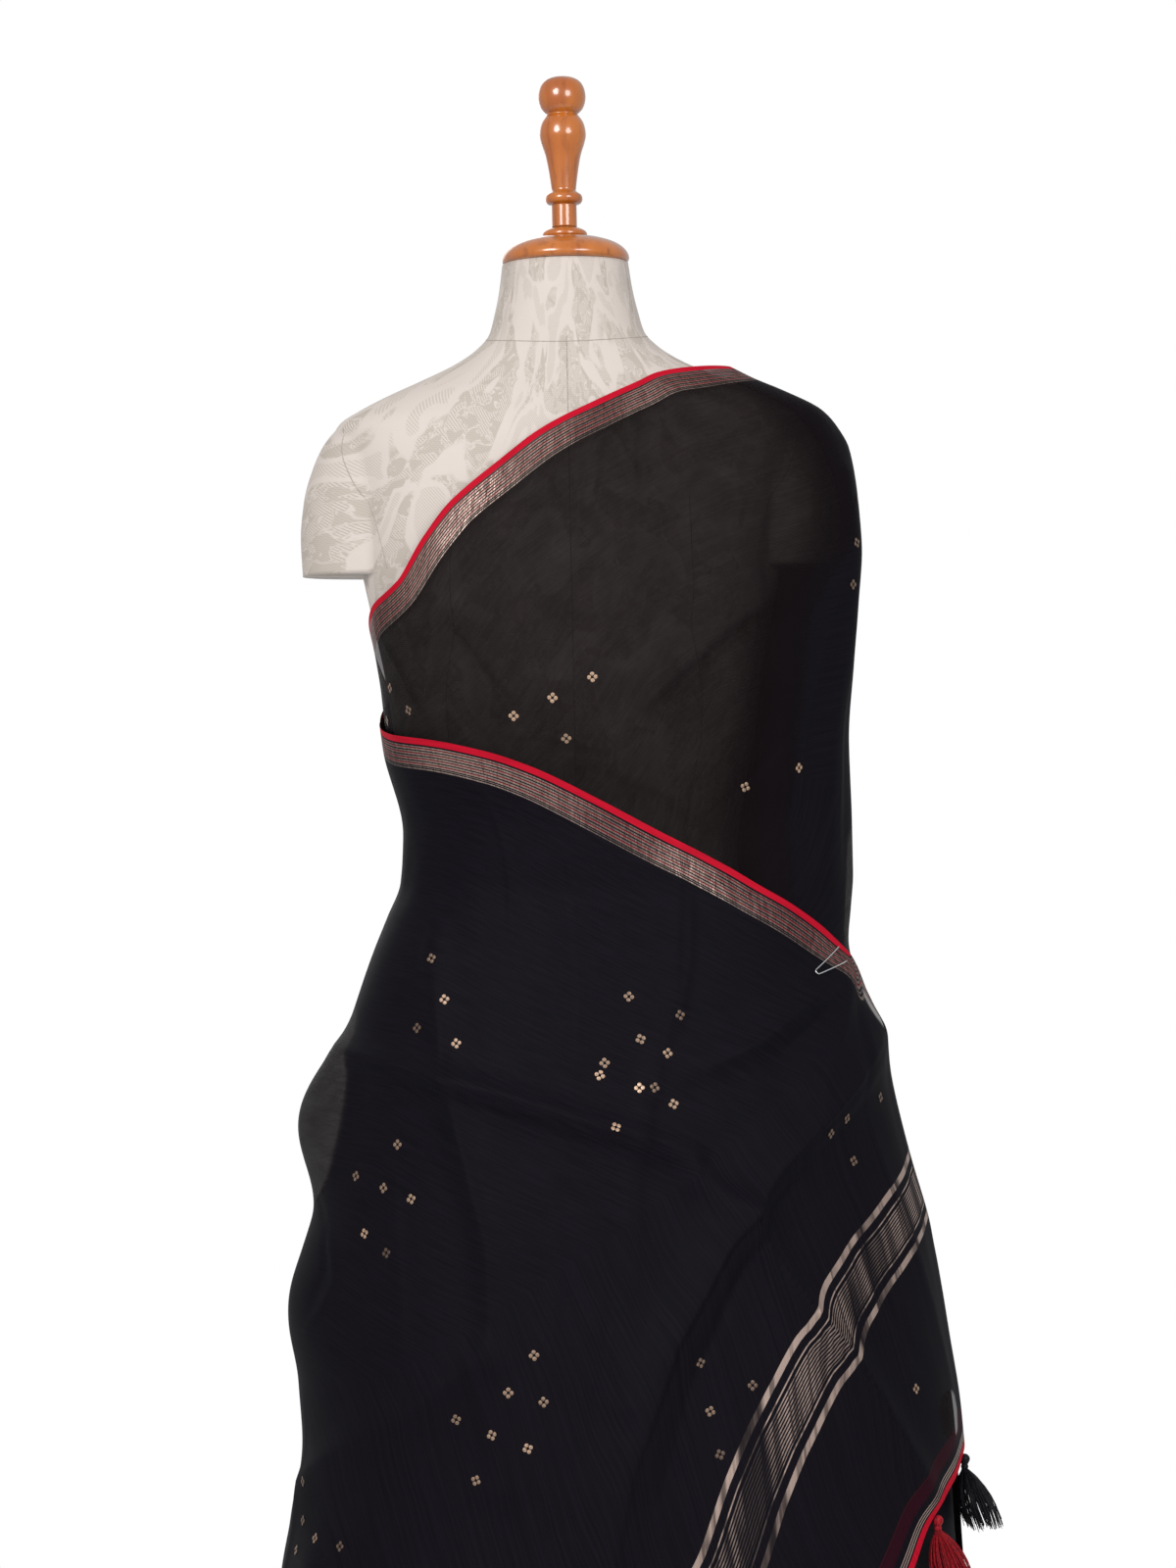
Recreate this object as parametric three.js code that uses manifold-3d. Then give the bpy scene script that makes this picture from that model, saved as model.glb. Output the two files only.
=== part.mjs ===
// A black silk saree draped on a limbless dress form with a turned wooden top, on a pole and round base.
// Millimetres, +Z up. The origin is on the floor under the pole, the front faces -Y.
import * as THREE from 'three';
import Module from 'manifold-3d';

const wasm = await Module();
wasm.setup();

// Driving dimensions of the cloth
const clothThickness = 1.6;
const seamGap = 0.3;
const frontLift = 4.0;        // the last stretch lies this far outside the one beneath it
const skirtInset = 5.5;       // the inner skirt lies this far inside the outer stretches
const skirtTop = 1072;
const hemHeight = 45;
const outerHemHeight = 52;
const pleatDepth = 24;        // of the skirt's pleats, at the hem
const pleatPitch = 13;        // degrees round the axis
const arcPerDegree = 3.2;     // length round the drape for one degree, for the width of a crease

// Driving dimensions of the stand and the wooden top
const poleRadius = 16;
const baseRadius = 165;
const baseHeight = 24;
const formBottom = 800;
const shoulderEnd = 1331;     // flat underside of the short shoulder caps
const shoulderCentre = 150;
const capRim = 1576;
const finialFoot = 1605;
const finialTop = 1725;

// Tassels along the end of the cloth
const tasselPitch = 84;
const firstTassel = 50;       // from the corner to the first tassel
const tasselLowest = 112;
const tasselHeadRadius = 4.4;
const strandLength = 43;
const strandRadius = 0.9;
const strandsPerTassel = 8;
const strandSpread = 19;      // to each side at the tips
const strandLean = 14;        // of the tips, off the skirt behind
const strandDepth = 14;       // to the front and back at the tips

// The safety pin at the left hip: its wire, its legs' lean above level, and where its bend lies
const pinWireRadius = 0.55;
const pinBendRadius = 1.7;
const pinLegLength = 37;
const pinUpperLeg = 27;
const pinLowerLeg = 14;
const pinBendAngle = 339.4;
const pinBendHeight = 1012;
const pinArcPerDegree = 3.7;

const radians = THREE.MathUtils.degToRad;

/** A table with named columns. Each column becomes a smooth curve over the first one. */
function table(columns, rows) {
  const keys = rows.map((row) => row[0]);
  const curves = {};
  columns.slice(1).forEach((name, index) => {
    curves[name] = smoothCurve(keys, rows.map((row) => row[index + 1]));
  });
  return curves;
}

/** Monotone cubic through the given points, which never overshoots them. */
function smoothCurve(xs, ys) {
  const last = xs.length - 1;
  const steps = xs.slice(1).map((x, i) => x - xs[i]);
  const slopes = steps.map((step, i) => (ys[i + 1] - ys[i]) / step);
  const tangents = xs.map((x, i) => {
    if (i === 0) return slopes[0];
    if (i === last) return slopes[last - 1];
    if (slopes[i - 1] * slopes[i] <= 0) return 0;
    const before = 2 * steps[i] + steps[i - 1];
    const after = steps[i] + 2 * steps[i - 1];
    return (before + after) / (before / slopes[i - 1] + after / slopes[i]);
  });
  return (value) => {
    const x = Math.min(Math.max(value, xs[0]), xs[last]);
    let i = 0;
    while (i < last - 1 && x > xs[i + 1]) i += 1;
    const t = (x - xs[i]) / steps[i];
    const rise = t * t * (3 - 2 * t);
    const early = t * (1 - t) ** 2 * steps[i] * tangents[i];
    const late = t * t * (t - 1) * steps[i] * tangents[i + 1];
    return (1 - rise) * ys[i] + rise * ys[i + 1] + early + late;
  };
}

// Half sizes of the draped figure at each height, to the outside of the cloth, and how full its two sides are
const drape = table(['height', 'right', 'left', 'front', 'back', 'rightFullness', 'leftFullness'], [
  [45, 338, 300, 238, 255, 2.1, 2.1],
  [300, 316, 272, 218, 232, 2.1, 2.1],
  [540, 295, 245, 197, 206, 2.05, 2.1],
  [652, 290, 225, 186, 194, 2.0, 2.1],
  [730, 279.5, 229, 178, 184, 2.0, 2.1],
  [800, 269, 218, 168, 172, 1.95, 2.1],
  [865, 252, 205, 157, 160, 1.9, 2.1],
  [902, 243.5, 198, 151, 152, 1.9, 2.1],
  [949, 233.5, 189, 141, 139, 1.85, 2.1],
  [1005, 219.5, 171, 130, 121, 1.8, 2.15],
  [1033, 214, 160.5, 124, 113, 1.8, 2.2],
  [1060, 216.5, 149, 119, 106, 1.8, 2.2],
  [1087, 219, 138, 115, 101, 1.78, 2.2],
  [1126, 219, 135, 115, 99, 1.75, 2.25],
  [1190, 218, 149, 126, 105, 1.75, 2.3],
  [1250, 223, 155, 136, 113, 1.8, 2.4],
  [1300, 228, 165, 134, 117, 1.85, 2.35],
  [1345, 231.6, 174, 123, 117, 1.9, 2.2],
  [1390, 228.8, 184, 110, 111, 1.95, 2.1],
  [1425, 223, 190, 98, 101, 2, 2.1],
  [1440, 215, 193, 92, 96, 2, 2.1],
  [1455, 202, 188, 84, 89, 2, 2.1],
  [1471, 172, 155, 75, 80, 2, 2.1],
  [1481, 149, 132, 69, 74, 2, 2.1],
  [1491, 130, 112, 63, 68, 2, 2.1],
  [1500, 110, 92, 58, 64, 2, 2.1],
]);

// Half sizes of the dress form
const form = table(['height', 'side', 'front', 'back', 'fullness'], [
  [800, 160, 108, 118, 2.2],
  [850, 169, 115, 127, 2.2],
  [900, 171, 117, 129, 2.2],
  [960, 164, 111, 121, 2.2],
  [1030, 146.7, 98.5, 103.5, 2.2],
  [1104, 126.7, 90.5, 86.5, 2.2],
  [1150, 133, 99, 89, 2.25],
  [1200, 143, 115, 96, 2.35],
  [1250, 150, 128, 102, 2.45],
  [1300, 160, 125, 107, 2.35],
  [1345, 169, 113, 107, 2.2],
  [1390, 178, 100, 101, 2.1],
  [1425, 184, 88, 91, 2.1],
  [1445, 186, 80, 83, 2.1],
  [1452, 182, 77, 80, 2.1],
  [1462, 166, 72, 76, 2.1],
  [1472, 146, 67, 71, 2.1],
  [1485, 116, 60, 64, 2.05],
  [1497, 90, 56, 61, 2],
  [1508, 73, 54, 59, 2],
  [1520, 62, 53, 57, 2],
  [1535, 57.5, 51, 54, 2],
  [1555, 53, 48.5, 50.5, 2],
  [1576, 50, 46.5, 48, 2],
]);

// The shoulder caps: half sizes about an upright axis inside each shoulder
const shoulderCap = table(['height', 'reach', 'depth'], [
  [1331, 64, 50],
  [1360, 65, 51],
  [1390, 62, 50],
  [1420, 53, 45],
  [1440, 42, 37],
  [1455, 25, 24],
  [1462, 12, 12],
]);

/** Radius of a rounded outline, with its own half size and fullness on each side. */
function outlineRadius(angle, side, depth, fullness) {
  const across = Math.abs(Math.cos(angle) / side) ** fullness;
  const along = Math.abs(Math.sin(angle) / depth) ** fullness;
  return (across + along) ** (-1 / fullness);
}

function drapeRadius(degrees, height) {
  const angle = radians(degrees);
  const right = Math.cos(angle) >= 0;
  const side = right ? drape.right(height) : drape.left(height);
  const depth = Math.sin(angle) >= 0 ? drape.back(height) : drape.front(height);
  const fullness = right ? drape.rightFullness(height) : drape.leftFullness(height);
  return outlineRadius(angle, side, depth, fullness);
}

/** Radius of the dress form: its body, or the shoulder cap where that reaches further. */
function formRadius(degrees, height) {
  const angle = radians(degrees);
  const depth = Math.sin(angle) >= 0 ? form.back(height) : form.front(height);
  const body = outlineRadius(angle, form.side(height), depth, form.fullness(height));
  if (height < shoulderEnd || height > 1462) return body;
  const reach = shoulderCap.reach(height);
  const capDepth = shoulderCap.depth(height);
  const across = Math.abs(Math.cos(angle)) / reach;
  const along = Math.sin(angle) / capDepth;
  const square = across ** 2 + along ** 2;
  const linear = across * (shoulderCentre / reach);
  const room = linear ** 2 - square * ((shoulderCentre / reach) ** 2 - 1);
  if (room <= 0) return body;
  return Math.max(body, (linear + Math.sqrt(room)) / square);
}

// The cloth's edges: height of the upper and lower edge of each stretch at each angle.
// 0 is the right side as seen from the front, 90 the back, 180 the left side, 270 the front.
const chestEdges = table(['angle', 'top', 'bottom'], [
  [152, 1200, 1158],
  [165, 1238, 1160],
  [180, 1274, 1160],
  [197, 1302, 1154],
  [213, 1322, 1148],
  [220, 1355, 1146],
  [227, 1382, 1144],
  [239, 1408, 1138],
  [254, 1433, 1126],
  [267, 1446, 1112],
  [281, 1456, 1096],
  [293, 1464, 1080],
  [307, 1473, 1062],
  [320, 1482, 1044],
  [331, 1486, 1022],
  [344, 1489, 996],
  [360, 1491, 985],
]);
const backEdges = table(['angle', 'top'], [
  [0, 1491],
  [20, 1482],
  [40, 1460],
  [55, 1438],
  [72, 1411],
  [90, 1382],
  [119, 1328],
  [142, 1276],
  [169, 1226],
  [180, 1215],
]);
const frontEdges = table(['angle', 'top'], [
  [180, 1215],
  [200, 1205],
  [223, 1198],
  [241, 1188],
  [254, 1177],
  [274, 1155],
  [297, 1128],
  [318, 1100],
  [330, 1078],
  [342, 1052],
  [350, 1031],
  [354, 1018],
  [357, 998],
  [359, 956],
  [361, 880],
  [363, 770],
  [365, 658],
]);
const endEdge = table(['angle', 'height'], [
  [271, 52],
  [280, 125],
  [294, 245],
  [308.5, 365],
  [324, 485],
  [335, 559],
  [342, 597],
  [350, 615],
  [358, 630],
  [365, 644],
]);
const endEdgeStart = 271;
const frontRightAngle = 365;
const frontAngles = [
  180 + gapAngle(180),
  184,
  ...steps(189.5, 344, 29),
  ...steps(348, 357, 3),
  ...steps(359, frontRightAngle, 3),
];

function frontBottom(degrees) {
  return degrees <= endEdgeStart ? outerHemHeight : endEdge.height(degrees);
}

// The largest folds: a route over the drape, and how far and how wide each stands out
const chestFolds = [
  { depth: 4, width: 17, route: [[330, 1310], [321, 1291], [309, 1263], [283, 1197]] },
  { depth: 4, width: 15, route: [[350, 1450], [339, 1360], [333, 1270], [337, 1160]] },
  { depth: 3, width: 14, route: [[322, 1466], [312, 1410], [308, 1340]] },
  { depth: 5, width: 12, route: [[352, 1400], [350, 1240], [347, 1090]] },
];
const frontFolds = [
  { depth: 7, width: 13, route: [[186, 957], [213, 948], [234, 935], [266, 909], [298, 881]] },
  { depth: 5, width: 15, route: [[221, 1040], [232, 937], [239, 883], [247, 815], [250, 640]] },
  { depth: 3, width: 10, route: [[305, 1085], [299, 998], [288, 924], [283, 868], [278, 700]] },
  { depth: 11, width: 20, route: [[356, 962], [334, 910], [316, 863], [301, 803], [287, 730], [276, 633], [268, 500]] },
  { depth: 7, width: 13, route: [[299, 862], [308, 837], [315, 782], [325, 722], [331, 672], [340, 608]] },
  { depth: 5, width: 14, route: [[349, 1016], [335, 991], [318, 962], [300, 945]] },
  { depth: 4, width: 13, route: [[350, 1004], [340, 960], [330, 930]] },
  { depth: 6, width: 18, route: [[184, 600], [210, 656], [229, 693], [244, 735]] },
  { depth: 10, width: 24, route: [[207, 560], [203, 300], [201, 52]] },
  { depth: 12, width: 26, route: [[231, 500], [228, 260], [226, 52]] },
  { depth: 11, width: 24, route: [[257, 520], [254, 280], [252, 52]] },
];
const backFolds = [
  { depth: 5, width: 15, route: [[12, 1440], [50, 1370], [100, 1250], [150, 1150]] },
  { depth: 6, width: 17, route: [[10, 1370], [45, 1270], [95, 1130], [150, 1010]] },
  { depth: 6, width: 18, route: [[12, 1230], [40, 1110], [85, 960], [140, 800]] },
  { depth: 9, width: 24, route: [[22, 1000], [32, 700], [35, 400], [36, 52]] },
  { depth: 11, width: 26, route: [[52, 900], [62, 600], [66, 300], [68, 52]] },
  { depth: 10, width: 23, route: [[92, 820], [97, 560], [100, 300], [101, 52]] },
  { depth: 12, width: 27, route: [[124, 700], [130, 420], [133, 200], [134, 52]] },
  { depth: 8, width: 22, route: [[160, 640], [163, 400], [164, 200], [165, 52]] },
];

/** How far a fold stands out at a place: full along its route, fading to both sides and at the ends. */
function foldHeight(fold, degrees, height) {
  let nearest = Infinity;
  let fade = 1;
  const spans = fold.route.length - 1;
  for (let i = 0; i < spans; i += 1) {
    const [startAngle, startHeight] = fold.route[i];
    const [endAngle, endHeight] = fold.route[i + 1];
    const across = (endAngle - startAngle) * arcPerDegree;
    const up = endHeight - startHeight;
    const fromStart = (degrees - startAngle) * arcPerDegree;
    const along = (fromStart * across + (height - startHeight) * up) / (across ** 2 + up ** 2);
    const t = Math.min(Math.max(along, 0), 1);
    const distance = Math.hypot(fromStart - t * across, height - startHeight - t * up);
    if (distance < nearest) {
      nearest = distance;
      const travelled = (i + t) / spans;
      fade = 0.35 + 0.65 * Math.sin(Math.PI * Math.min(0.12 + 0.88 * travelled, 1) * 0.92) ** 0.5;
    }
  }
  return fold.depth * fade * Math.exp(-((nearest / fold.width) ** 2));
}

function foldsAt(folds, degrees, height) {
  return folds.reduce((sum, fold) => sum + foldHeight(fold, degrees, height), 0);
}

/** A round hump: 1 at the middle and 0 beyond the given half width. */
function hump(value, middle, halfWidth) {
  const t = Math.abs(value - middle) / halfWidth;
  return t < 1 ? Math.cos((t * Math.PI) / 2) ** 2 : 0;
}

/** The loose loop of cloth that stands off the left hip, and the slack below it. */
function hipLoop(degrees, height) {
  const loop = 25 * hump(degrees, 182, 26) * hump(height, 905, 82);
  const slack = 8 * hump(degrees, 188, 34) * hump(height, 765, 70);
  return loop + slack;
}

function chestRadius(degrees, height) {
  const edgeFade = Math.min(1, (360 - degrees) / 8);
  return drapeRadius(degrees, height) + edgeFade * foldsAt(chestFolds, degrees, height);
}

function frontRadius(degrees, height) {
  const clear = Math.max(drapeRadius(degrees, height), chestRadius(Math.min(degrees, 360), height));
  const fromSeam = Math.min(1, (degrees - 180) / 12);
  const folds = fromSeam * foldsAt(frontFolds, degrees, height);
  const tipLift = 2.5 * THREE.MathUtils.smoothstep(degrees, 354, 360);
  return clear + frontLift + tipLift + folds + hipLoop(degrees, height);
}

function backRadius(degrees, height) {
  const lift = frontLift * THREE.MathUtils.smoothstep(degrees, 20, 110);
  const fromSeams = Math.min(1, degrees / 12, (180 - degrees) / 12);
  const folds = Math.max(0, fromSeams) * foldsAt(backFolds, degrees, height);
  return drapeRadius(degrees, height) + lift + folds + hipLoop(degrees, height);
}

function skirtRadius(degrees, height) {
  const fall = THREE.MathUtils.clamp((skirtTop - height) / (skirtTop - hemHeight), 0, 1);
  const inFront = hump(degrees, 285, 80);
  const pleats = 0.5 + 0.5 * Math.cos(radians(((degrees - 285) * 360) / pleatPitch));
  const sway = 0.5 + 0.5 * Math.cos(radians(degrees * 9 + 35 * Math.sin(radians(degrees * 3))));
  const wave = THREE.MathUtils.lerp(sway, pleats, Math.min(1, inFront * 3));
  return drapeRadius(degrees, height) - skirtInset - pleatDepth * fall * (1 - wave);
}

/** A place on a surface that is given by its radius at each angle and height. */
function placeOn(radius, degrees, height) {
  const angle = radians(degrees);
  const reach = radius(degrees, height);
  return new THREE.Vector3(reach * Math.cos(angle), reach * Math.sin(angle), height);
}

/** The direction out of such a surface. */
function normalOn(radius, degrees, height) {
  const turn = 0.4;
  const climb = 1.5;
  const round = placeOn(radius, degrees + turn, height).sub(placeOn(radius, degrees - turn, height));
  const up = placeOn(radius, degrees, height + climb).sub(placeOn(radius, degrees, height - climb));
  return round.cross(up).normalize();
}

/** A closed body from a grid of outer points and one of inner points, open or closed round the axis. */
function shellGeometry(outer, inner, closed) {
  const columns = outer.length;
  const rows = outer[0].length;
  const positions = [];
  [outer, inner].forEach((grid) => grid.forEach((column) => column.forEach((p) => positions.push(p.x, p.y, p.z))));
  const index = [];
  const at = (side, i, j) => (side * columns + (i % columns)) * rows + j;
  const quad = (a, b, c, d) => index.push(a, b, c, a, c, d);
  const spans = closed ? columns : columns - 1;
  for (let i = 0; i < spans; i += 1) {
    for (let j = 0; j < rows - 1; j += 1) {
      quad(at(0, i, j), at(0, i + 1, j), at(0, i + 1, j + 1), at(0, i, j + 1));
      quad(at(1, i, j), at(1, i, j + 1), at(1, i + 1, j + 1), at(1, i + 1, j));
    }
    quad(at(0, i + 1, 0), at(0, i, 0), at(1, i, 0), at(1, i + 1, 0));
    quad(at(0, i, rows - 1), at(0, i + 1, rows - 1), at(1, i + 1, rows - 1), at(1, i, rows - 1));
  }
  if (!closed) {
    for (let j = 0; j < rows - 1; j += 1) {
      quad(at(0, 0, j), at(0, 0, j + 1), at(1, 0, j + 1), at(1, 0, j));
      const end = columns - 1;
      quad(at(0, end, j + 1), at(0, end, j), at(1, end, j), at(1, end, j + 1));
    }
  }
  const geometry = new THREE.BufferGeometry();
  geometry.setAttribute('position', new THREE.Float32BufferAttribute(positions, 3));
  geometry.setIndex(index);
  return geometry;
}

/** Cloth over a surface, between a lower and an upper edge. Rows lie closer towards the crowded end. */
function clothGeometry({ radius, angles, bottom, top, rows, crowding = 1, closed = false }) {
  const outer = [];
  const inner = [];
  angles.forEach((degrees) => {
    const low = bottom(degrees);
    const high = top(degrees);
    const outerColumn = [];
    const innerColumn = [];
    for (let j = 0; j < rows; j += 1) {
      const share = 1 - (1 - j / (rows - 1)) ** crowding;
      const height = low + (high - low) * share;
      const point = placeOn(radius, degrees, height);
      outerColumn.push(point);
      innerColumn.push(point.clone().addScaledVector(normalOn(radius, degrees, height), -clothThickness));
    }
    outer.push(outerColumn);
    inner.push(innerColumn);
  });
  return shellGeometry(outer, inner, closed);
}

/** Angles from start to end in even steps. */
function steps(start, end, count) {
  return Array.from({ length: count + 1 }, (unused, i) => start + ((end - start) * i) / count);
}

/** Half the seam gap at a place, as an angle. */
function gapAngle(radius) {
  return THREE.MathUtils.radToDeg(seamGap / 2 / radius);
}

/** A solid whose outline is given at each height, closed by flat ends or by ends at their own heights. */
function roundedBody({ radius, angles, heights }) {
  const positions = [];
  const index = [];
  const count = angles.length;
  heights.forEach((heightAt) => angles.forEach((degrees) => {
    const p = placeOn(radius, degrees, heightAt(degrees));
    positions.push(p.x, p.y, p.z);
  }));
  for (let row = 0; row < heights.length - 1; row += 1) {
    for (let i = 0; i < count; i += 1) {
      const next = (i + 1) % count;
      const a = row * count + i;
      const b = row * count + next;
      index.push(a, b, b + count, a, b + count, a + count);
    }
  }
  const bottomCentre = positions.length / 3;
  const middleHeight = (heightAt) => angles.reduce((sum, degrees) => sum + heightAt(degrees), 0) / count;
  positions.push(0, 0, middleHeight(heights[0]), 0, 0, middleHeight(heights[heights.length - 1]));
  const topStart = (heights.length - 1) * count;
  for (let i = 0; i < count; i += 1) {
    const next = (i + 1) % count;
    index.push(bottomCentre, next, i);
    index.push(bottomCentre + 1, topStart + i, topStart + next);
  }
  const geometry = new THREE.BufferGeometry();
  geometry.setAttribute('position', new THREE.Float32BufferAttribute(positions, 3));
  geometry.setIndex(index);
  return geometry;
}

/** The seam round the foot of the neck, lower in front. */
function neckSeam(degrees) {
  return 1517 + 6 * Math.sin(radians(degrees)) - 3 * Math.abs(Math.sin(radians(degrees)));
}

function level(height) {
  return () => height;
}

/** Angles with more of them over the shoulder caps. */
function formAngles() {
  const quarter = [0, 7, 14, 21, 32, 48, 68];
  const half = [...quarter, 90, ...quarter.slice(1).reverse().map((degrees) => 180 - degrees)];
  return [...half, ...half.map((degrees) => degrees + 180)];
}

function formTorso() {
  const below = [formBottom, 850, 905, 975, 1040, 1104, 1170, 1245, 1295, shoulderEnd - 0.4];
  const above = [shoulderEnd + 0.4, 1375, 1405, 1428, 1445, 1455, 1465, 1477, 1490];
  const heights = [...below, ...above].map(level);
  heights.push((degrees) => neckSeam(degrees) - 12);
  heights.push((degrees) => neckSeam(degrees) - seamGap);
  return roundedBody({ radius: formRadius, angles: formAngles(), heights });
}

function formNeck() {
  const heights = [neckSeam, (degrees) => neckSeam(degrees) + 14, level(1550), level(capRim - seamGap)];
  return roundedBody({ radius: formRadius, angles: formAngles(), heights });
}

/** A turned piece from a table of its radius at each height. */
function turned(rows, sides) {
  const foot = rows[0];
  const head = rows[rows.length - 1];
  const points = [new THREE.Vector2(0, foot[1])];
  rows.forEach(([radius, height]) => points.push(new THREE.Vector2(radius, height)));
  points.push(new THREE.Vector2(0, head[1]));
  const geometry = new THREE.LatheGeometry(points, sides);
  geometry.rotateX(Math.PI / 2);
  return geometry;
}

const neckCapProfile = [
  [48, capRim],
  [50.5, capRim + 1.5],
  [50.5, capRim + 4],
  [46, capRim + 10],
  [36, capRim + 16],
  [22, capRim + 20],
  [17.5, capRim + 21.5],
  [17.5, capRim + 27],
  [14, finialFoot - seamGap],
];
const finialProfile = [
  [10.1, finialFoot],
  [10.1, finialFoot + 18],
  [14, finialFoot + 19.5],
  [14.8, finialFoot + 23],
  [13, finialFoot + 27],
  [9.75, finialFoot + 29],
  [14, finialFoot + 57],
  [17.6, finialFoot + 69],
  [18.2, finialFoot + 77],
  [13.8, finialFoot + 90],
  [18, finialFoot + 99],
  [18.6, finialFoot + 106],
  [16.5, finialFoot + 113],
  [11, finialFoot + 118],
  [4, finialTop],
];
const baseProfile = [
  [baseRadius - 3, 0],
  [baseRadius, 3],
  [baseRadius, 11],
  [baseRadius - 8, 15],
  [60, 19],
  [30, baseHeight],
];

function toManifold(geometry) {
  return new wasm.Manifold(new wasm.Mesh({
    numProp: 3,
    vertProperties: new Float32Array(geometry.getAttribute('position').array),
    triVerts: new Uint32Array(geometry.getIndex().array),
  }));
}

function fromManifold(solid) {
  const mesh = solid.getMesh();
  const geometry = new THREE.BufferGeometry();
  geometry.setAttribute('position', new THREE.BufferAttribute(new Float32Array(mesh.vertProperties), 3));
  geometry.setIndex(new THREE.BufferAttribute(new Uint32Array(mesh.triVerts), 1));
  return geometry;
}

/** A closed round body from rings of points, the first and last closed by a fan. */
function ringsGeometry(rings) {
  const sides = rings[0].length;
  const positions = rings.flat().flatMap((p) => [p.x, p.y, p.z]);
  const index = [];
  for (let row = 0; row < rings.length - 1; row += 1) {
    for (let i = 0; i < sides; i += 1) {
      const a = row * sides + i;
      const b = row * sides + ((i + 1) % sides);
      index.push(a, b, b + sides, a, b + sides, a + sides);
    }
  }
  const last = (rings.length - 1) * sides;
  for (let i = 1; i < sides - 1; i += 1) {
    index.push(0, i + 1, i);
    index.push(last, last + i, last + i + 1);
  }
  const geometry = new THREE.BufferGeometry();
  geometry.setAttribute('position', new THREE.Float32BufferAttribute(positions, 3));
  geometry.setIndex(index);
  return geometry;
}

/** A level ring of points round a centre. */
function levelRing(centre, radius, sides, turn = 0) {
  return Array.from({ length: sides }, (unused, i) => {
    const angle = turn + (i * 2 * Math.PI) / sides;
    return new THREE.Vector3(centre.x + radius * Math.cos(angle), centre.y + radius * Math.sin(angle), centre.z);
  });
}

/** A tassel: a round head with thin strands that hang from it and spread, leaning off the skirt behind. */
function tasselGeometry(head, outward) {
  const sideways = new THREE.Vector3(-outward.y, outward.x, 0);
  const below = (drop, radius) => levelRing(head.clone().setZ(head.z - drop), radius, 8);
  let solid = toManifold(ringsGeometry([
    below(9, tasselHeadRadius * 0.8),
    below(3, tasselHeadRadius * 0.72),
    below(0, tasselHeadRadius),
    below(-tasselHeadRadius * 0.8, tasselHeadRadius * 0.55),
  ]));
  for (let i = 0; i < strandsPerTassel; i += 1) {
    const turn = (i * 2 * Math.PI) / strandsPerTassel;
    const root = head.clone().setZ(head.z - 7);
    root.addScaledVector(sideways, 2.3 * Math.cos(turn)).addScaledVector(outward, 2.3 * Math.sin(turn));
    const tip = head.clone().setZ(head.z - 7 - strandLength * (0.93 + 0.07 * Math.cos(turn * 3)));
    const lean = strandLean + strandDepth * Math.sin(turn);
    tip.addScaledVector(sideways, strandSpread * Math.cos(turn)).addScaledVector(outward, lean);
    const strand = ringsGeometry([levelRing(tip, strandRadius, 3, turn), levelRing(root, strandRadius, 3, turn)]);
    solid = solid.add(toManifold(strand));
  }
  return fromManifold(solid);
}

/** Where the tassels' heads sit: a fixed length of the end edge apart, beside it and clear of it by the seam gap. */
function tasselHeads() {
  const heads = [];
  const edge = frontAngles.filter((degrees) => degrees > endEdgeStart).reverse();
  let travelled = tasselPitch - firstTassel;
  for (let i = 0; i < edge.length - 1; i += 1) {
    const start = placeOn(frontRadius, edge[i], frontBottom(edge[i]));
    const end = placeOn(frontRadius, edge[i + 1], frontBottom(edge[i + 1]));
    const along = end.clone().sub(start);
    const length = along.length();
    along.normalize();
    const normal = normalOn(frontRadius, (edge[i] + edge[i + 1]) / 2, (start.z + end.z) / 2);
    const away = along.clone().cross(normal).normalize();
    if (away.z > 0) away.negate();
    let next = tasselPitch - travelled;
    while (next < length) {
      const place = start.clone().addScaledVector(along, next);
      if (place.z > tasselLowest) heads.push(place.addScaledVector(away, tasselHeadRadius * 0.96 + seamGap));
      next += tasselPitch;
    }
    travelled = length - (next - tasselPitch);
  }
  return heads;
}

/** A bent wire through a list of points. */
function wireGeometry(points, radius, sides, segments) {
  const section = new THREE.Shape();
  for (let i = 0; i < sides; i += 1) {
    const angle = (i * 2 * Math.PI) / sides;
    const x = radius * Math.cos(angle);
    const y = radius * Math.sin(angle);
    if (i === 0) section.moveTo(x, y);
    else section.lineTo(x, y);
  }
  section.closePath();
  const path = new THREE.CatmullRomCurve3(points, false, 'centripetal');
  return new THREE.ExtrudeGeometry(section, { steps: segments, bevelEnabled: false, extrudePath: path });
}

/** The pin's wire on the cloth: two legs that open from a small round bend. */
function safetyPin() {
  const route = [];
  const arm = (direction, distance, turn) => {
    const side = direction + (turn * Math.PI) / 2;
    return [
      distance * Math.cos(direction) + pinBendRadius * Math.cos(side),
      distance * Math.sin(direction) + pinBendRadius * Math.sin(side),
    ];
  };
  const upper = radians(pinUpperLeg);
  const lower = radians(pinLowerLeg);
  [1, 0.66, 0.33, 0].forEach((share) => route.push(arm(upper, pinLegLength * share, 1)));
  for (let i = 1; i < 6; i += 1) {
    const angle = upper + Math.PI / 2 + ((lower - upper + Math.PI) * i) / 6;
    route.push([pinBendRadius * Math.cos(angle), pinBendRadius * Math.sin(angle)]);
  }
  [0, 0.33, 0.66, 0.92].forEach((share) => route.push(arm(lower, pinLegLength * share, -1)));
  const points = route.map(([x, y]) => {
    const degrees = pinBendAngle + x / pinArcPerDegree;
    const point = placeOn(frontRadius, degrees, pinBendHeight + y);
    return point.addScaledVector(normalOn(frontRadius, degrees, pinBendHeight + y), pinWireRadius + 0.5);
  });
  return wireGeometry(points, pinWireRadius, 6, 34);
}

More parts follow.
